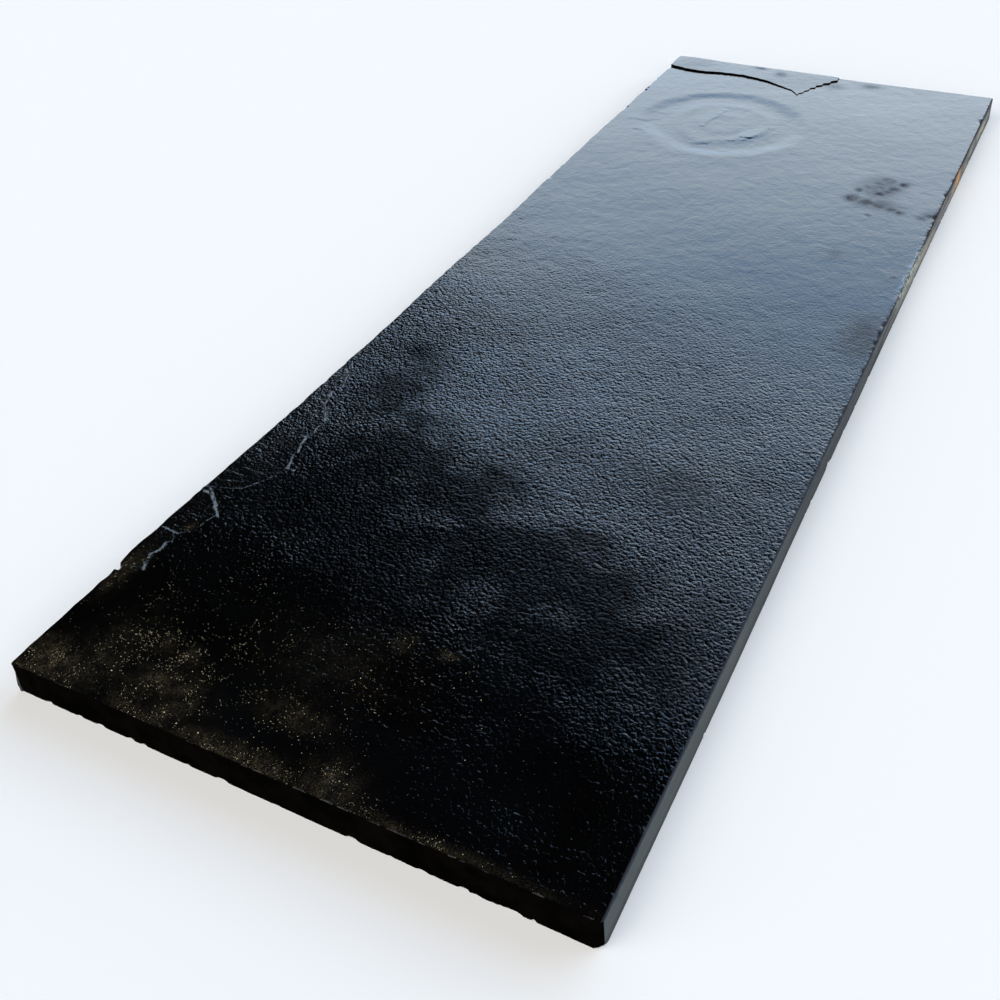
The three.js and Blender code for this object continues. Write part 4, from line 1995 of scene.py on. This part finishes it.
    def staggered(self, low: Array, high: Array, cell: float) -> Array:
        """Lays staggered rows of points over a rectangle, a little off their rows.

        Args:
            low: The rectangle's lowest corner.
            high: The rectangle's highest corner.
            cell: The distance between points.

        Returns:
            The points.
        """
        draw = np.random.default_rng(self.seed)
        rows = np.arange(low[1], high[1], cell * math.sqrt(3.0) / 2.0)
        x, y = np.meshgrid(np.arange(low[0], high[0], cell), rows)
        x[::2] += 0.5 * cell
        grid = np.stack([x.ravel(), y.ravel()], axis=1)
        return grid + draw.uniform(-self.jitter, self.jitter, grid.shape) * cell

    def lay_underside(self, ring: Array) -> tuple[Array, Array, Array]:
        """Fills the flat underside with triangles.

        Args:
            ring: The ring of points round the underside.

        Returns:
            The points, the triangles, and where the ring's points are among the points.
        """
        low, high = ring[:, :2].min(axis=0), ring[:, :2].max(axis=0)
        columns = np.arange(low[0] + self.underside_cell, high[0], self.underside_cell)
        rows = np.arange(low[1] + self.underside_cell, high[1], self.underside_cell)
        x, y = np.meshgrid(columns, rows)
        grid = np.stack([x.ravel(), y.ravel()], axis=1)
        grid = grid[self.edges.is_within(grid, self.underside_margin)]
        flat, faces, where = fill(ring[:, :2], grid, [])
        return np.column_stack([flat, np.zeros(len(flat))]), faces, where

    def ways_in(self, points: Array, face_count: int, wall_count: int, count: int) -> Array:
        """Works out the way into the stone at each point.

        Args:
            points: All the mesh's points.
            face_count: How many of them are on the face.
            wall_count: How many rings are on the edge faces.
            count: How many points a ring has.

        Returns:
            Unit vectors, one for each point.
        """
        _, inward, _ = self.edges.outline()
        ways = np.tile([0.0, 0.0, -1.0], (len(points), 1))
        ways[face_count + wall_count * count :, 2] = 1.0
        level = np.column_stack([inward, np.zeros(count)])
        slopes = dict(enumerate(self.top_slopes)) | {wall_count - 1: self.foot_slope}
        for index in range(wall_count):
            way = level + np.array([0.0, 0.0, slopes.get(index, 0.0)])
            start = face_count + index * count
            ways[start : start + count] = way / np.linalg.norm(way, axis=1, keepdims=True)
        return ways

    def chip(self, points: Array, inward: Array) -> tuple[Array, Array]:
        """Takes the chips off the arrises.

        Args:
            points: All the mesh's points.
            inward: The way into the stone at each.

        Returns:
            The moved points, and 1 where a point has moved much.
        """
        moved = np.zeros(len(points))
        for chip in ArrisChips(self.plan).chips():
            reach = max(chip.radii)
            near = np.nonzero(np.abs(points - np.array(chip.centre)).max(axis=1) < reach)[0]
            if len(near) == 0:
                continue
            points[near], step = chip.carve(points[near], inward[near])
            moved[near] = np.maximum(moved[near], step)
        points[:, 2] = np.maximum(points[:, 2], 0.0)
        return points, ease(moved / self.gone)

    def mark(self, mesh: bpy.types.Mesh, points: Array, face_count: int, chipped: Array) -> None:
        """Writes the stone's marks on the mesh.

        Args:
            mesh: The slab's mesh.
            points: Its points.
            face_count: How many of them are on the face.
            chipped: 1 where a chip has gone.
        """
        place = self.plan.place(points)
        face = self.marks.on_face(place[:face_count])
        edge = self.marks.on_edges(points[face_count:], place[face_count:])
        for mark in Mark:
            values = np.concatenate([face[mark], edge[mark]])
            if mark in (Mark.SCAR, Mark.STAIN):
                values = np.maximum(values, chipped)
            layer = mesh.attributes.new(mark.value, "FLOAT", "POINT")
            layer.data.foreach_set("value", values.astype(np.float32))

    def dress(self, mesh: bpy.types.Mesh) -> bpy.types.Object:
        """Gives the mesh its finishes and sets it on the root body.

        Args:
            mesh: The slab's mesh.

        Returns:
            The slab's object.
        """
        # The ends' and the riser's near-black finishes paint shade.
        for finish in (CleftFinish(), SawnFinish(), DARK_END_PAINTED_SHADE, TRIMMED_EDGE, DRY_UNDERSIDE, RISER_PAINTED_SHADE):
            mesh.materials.append(finish.build())
        slab = bpy.data.objects.new("bluestone_tread", mesh)
        bpy.context.scene.collection.objects.link(slab)
        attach(slab, "root")
        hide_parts(NODE)
        return slab


def clear_of(points: Array, others: Array, gap: float) -> Array:
    """Drops points that lie too close to others.

    Args:
        points: The points to thin out.
        others: The points to keep clear of.
        gap: The least distance.

    Returns:
        The points that are left.
    """
    tree = KDTree(len(others))
    for index, other in enumerate(others.tolist()):
        tree.insert((*other, 0.0), index)
    tree.balance()
    low, high = others.min(axis=0) - gap, others.max(axis=0) + gap
    maybe = ((points > low) & (points < high)).all(axis=1)
    keep = ~maybe
    for index in np.nonzero(maybe)[0]:
        keep[index] = tree.find((*points[index], 0.0))[2] > gap
    return points[keep]


def fill(
    ring: Array, inner: Array, edges: list[tuple[int, int]]
) -> tuple[Array, Array, Array]:
    """Fills a ring with triangles through given points and edges.

    Args:
        ring: The ring's points, anticlockwise.
        inner: The points inside it.
        edges: Pairs of points, counted from the ring's first, that keep an edge between them.

    Returns:
        The points, the triangles facing up, and where the ring's points are among the points.
    """
    count = len(ring)
    points = [Vector(point) for point in np.concatenate([ring, inner]).tolist()]
    bound = [(index, (index + 1) % count) for index in range(count)]
    made = delaunay_2d_cdt(points, bound + edges, [], 1, MERGED, True)
    flat = np.array([tuple(point) for point in made[0]])
    faces = np.array(made[2])
    where = np.zeros(count, int)
    for index, sources in enumerate(made[3]):
        for source in sources:
            if source < count:
                where[source] = index
    on_ring = np.zeros(len(flat), bool)
    on_ring[where] = True
    doubtful = np.nonzero(on_ring[faces].all(axis=1))[0]
    outside = depth_inside(flat[faces[doubtful]].mean(axis=1), ring) < ON_RING
    faces = np.delete(faces, doubtful[outside], axis=0)
    first, second, third = (flat[faces[:, corner]] for corner in range(3))
    one, two = second - first, third - first
    down = one[:, 0] * two[:, 1] - one[:, 1] * two[:, 0] < 0.0
    faces[down] = faces[down][:, ::-1]
    return flat, faces, where


# ---------------- the studio


@dataclass
class Studio:
    """The floor, the soft light and the camera."""

    plan: SlabPlan
    floor_half: float = 30.0
    floor_drop: float = 0.0004
    floor_tone: Colour = tone(0.98, 0.96, 0.93)
    lens: float = 40.53
    sensor: float = 36.0
    camera_before_near_end: float = 0.4193
    camera_outside_front: float = 0.1584
    camera_height: float = 0.8227
    heading: float = 28.726
    pitch: float = -39.62
    roll: float = -2.482
    panel_top: float = 47.2
    panel_slant: float = 0.64
    panel_edge: float = 1.5
    panel_side: float = 32.6
    panel_lean: float = 0.15
    panel_pivot: float = 28.0
    panel_right: Range = (-80.0, -50.0)
    panel_level_from: float = -10.0
    panel_dims: Range = (22.0, 50.0)
    panel_low: float = 3.05
    panel_high: float = 1.5
    blue_above: Range = (20.0, 34.0)
    haze: Fade = (11.0, 19.0, 0.9, 0.0)
    haze_from: Range = (11.0, 22.0)
    dome_behind: Range = (100.0, 130.0)
    dome_below: Fade = (60.0, 82.0, 1.0, 0.0)
    dome: float = 2.2
    gloom: float = 0.01
    low_tone: Colour = tone(0.735, 0.865, 1.0)
    high_tone: Colour = tone(0.38, 0.63, 1.0)
    dome_tone: Colour = tone(1.0, 1.0, 1.0)
    backdrop_tone: Colour = tone(0.88, 0.91, 0.95)

    def build(self) -> None:
        """Sets up the whole studio."""
        self.lay_floor()
        self.light_sky()
        self.set_camera()
        bpy.context.scene.view_settings.view_transform = "Standard"

    def lay_floor(self) -> None:
        """Lays a plain pale floor just under the slab."""
        half = self.floor_half
        mesh = bpy.data.meshes.new("floor")
        corners = [(-half, -half, 0.0), (half, -half, 0.0), (half, half, 0.0), (-half, half, 0.0)]
        mesh.from_pydata(corners, [], [(0, 1, 2, 3)])
        material, bench = new_material("floor")
        finish_shader(bench, 0.0, {"Base Color": self.floor_tone, "Roughness": 1.0})
        mesh.materials.append(material)
        floor = bpy.data.objects.new("floor", mesh)
        floor.location.z = -self.floor_drop
        bpy.context.scene.collection.objects.link(floor)

    def light_sky(self) -> None:
        """Lights the slab with a soft dome.

        The dome is brightest low beyond the slab's far end, dim high up, dark on the back side, and
        bright again behind the camera, where it lights the floor. A plain pale backdrop stands in
        front of it.
        """
        world = bpy.data.worlds.new("soft dome")
        bpy.context.scene.world = world
        world.use_nodes = True
        bench = Bench(world.node_tree)
        way = bench.add("ShaderNodeTexCoord").outputs["Generated"]
        parts = bench.add("ShaderNodeSeparateXYZ", {"Vector": way})
        degrees = math.degrees(1.0)
        up = bench.times(bench.math("ARCSINE", parts.outputs["Z"]), degrees)
        heading = bench.times(bench.math("ARCTAN2", parts.outputs["Y"], parts.outputs["X"]), degrees)
        slant_from = bench.larger(heading, self.panel_level_from)
        over = bench.math("SUBTRACT", up, bench.scaled(slant_from, -self.panel_slant, self.panel_top))
        below_top = bench.span(over, -self.panel_edge, self.panel_edge, 1.0, 0.0)
        raised = bench.math("SUBTRACT", up, self.panel_pivot)
        leaning = bench.scaled(raised, self.panel_lean, heading)
        side, edge = self.panel_side, self.panel_edge
        across = bench.times(
            bench.span(leaning, side - edge, side + edge, 1.0, 0.0),
            bench.span(heading, *self.panel_right),
        )
        panel = bench.times(across, below_top)
        height = bench.span(up, *self.panel_dims)
        bright = bench.scaled(height, self.panel_high - self.panel_low, self.panel_low)
        haze = bench.times(bench.span(up, *self.haze), bench.span(heading, *self.haze_from))
        blueness = bench.larger(bench.span(up, *self.blue_above), haze)
        behind = bench.span(bench.math("ABSOLUTE", heading), *self.dome_behind)
        dome = bench.times(bench.times(behind, bench.span(up, *self.dome_below)), self.dome)
        total = bench.math("ADD", bench.scaled(panel, bright, dome), self.gloom)
        tint = bench.mix(panel, self.dome_tone, bench.mix(blueness, self.low_tone, self.high_tone))
        light = bench.add("ShaderNodeBackground", {"Color": tint, "Strength": total})
        pale = bench.add("ShaderNodeBackground", {"Color": self.backdrop_tone, "Strength": 1.0})
        seen = bench.add("ShaderNodeLightPath").outputs["Is Camera Ray"]
        sky = bench.add("ShaderNodeMixShader", {0: seen, 1: light.outputs[0], 2: pale.outputs[0]})
        bench.add("ShaderNodeOutputWorld", {"Surface": sky.outputs["Shader"]})

    def set_camera(self) -> None:
        """Sets the camera low over the slab's near end, looking along it."""
        data = bpy.data.cameras.new("camera")
        data.lens = self.lens
        data.sensor_width = self.sensor
        camera = bpy.data.objects.new("camera", data)
        heading, pitch = math.radians(self.heading), math.radians(self.pitch)
        level = math.cos(pitch)
        look = Vector((math.cos(heading) * level, math.sin(heading) * level, math.sin(pitch)))
        roll = Matrix.Rotation(math.radians(self.roll), 3, "Z")
        turn = look.to_track_quat("-Z", "Y").to_matrix() @ roll
        camera.matrix_world = turn.to_4x4()
        camera.location = (
            self.plan.near_x - self.camera_before_near_end,
            self.plan.front_y - self.camera_outside_front,
            self.camera_height,
        )
        bpy.context.scene.collection.objects.link(camera)
        bpy.context.scene.camera = camera


def main() -> None:
    """Builds the studio and the tread, and reports the studio."""
    logging.basicConfig(level=logging.INFO, format="%(name)s: %(message)s")
    low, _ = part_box(NODE)
    plan = SlabPlan(near_x=low.x, front_y=low.y)
    Studio(plan).build()
    LOG.info("studio: floor, soft dome and camera")
    slab = Tread(plan).build()


if __name__ == "__main__":
    main()
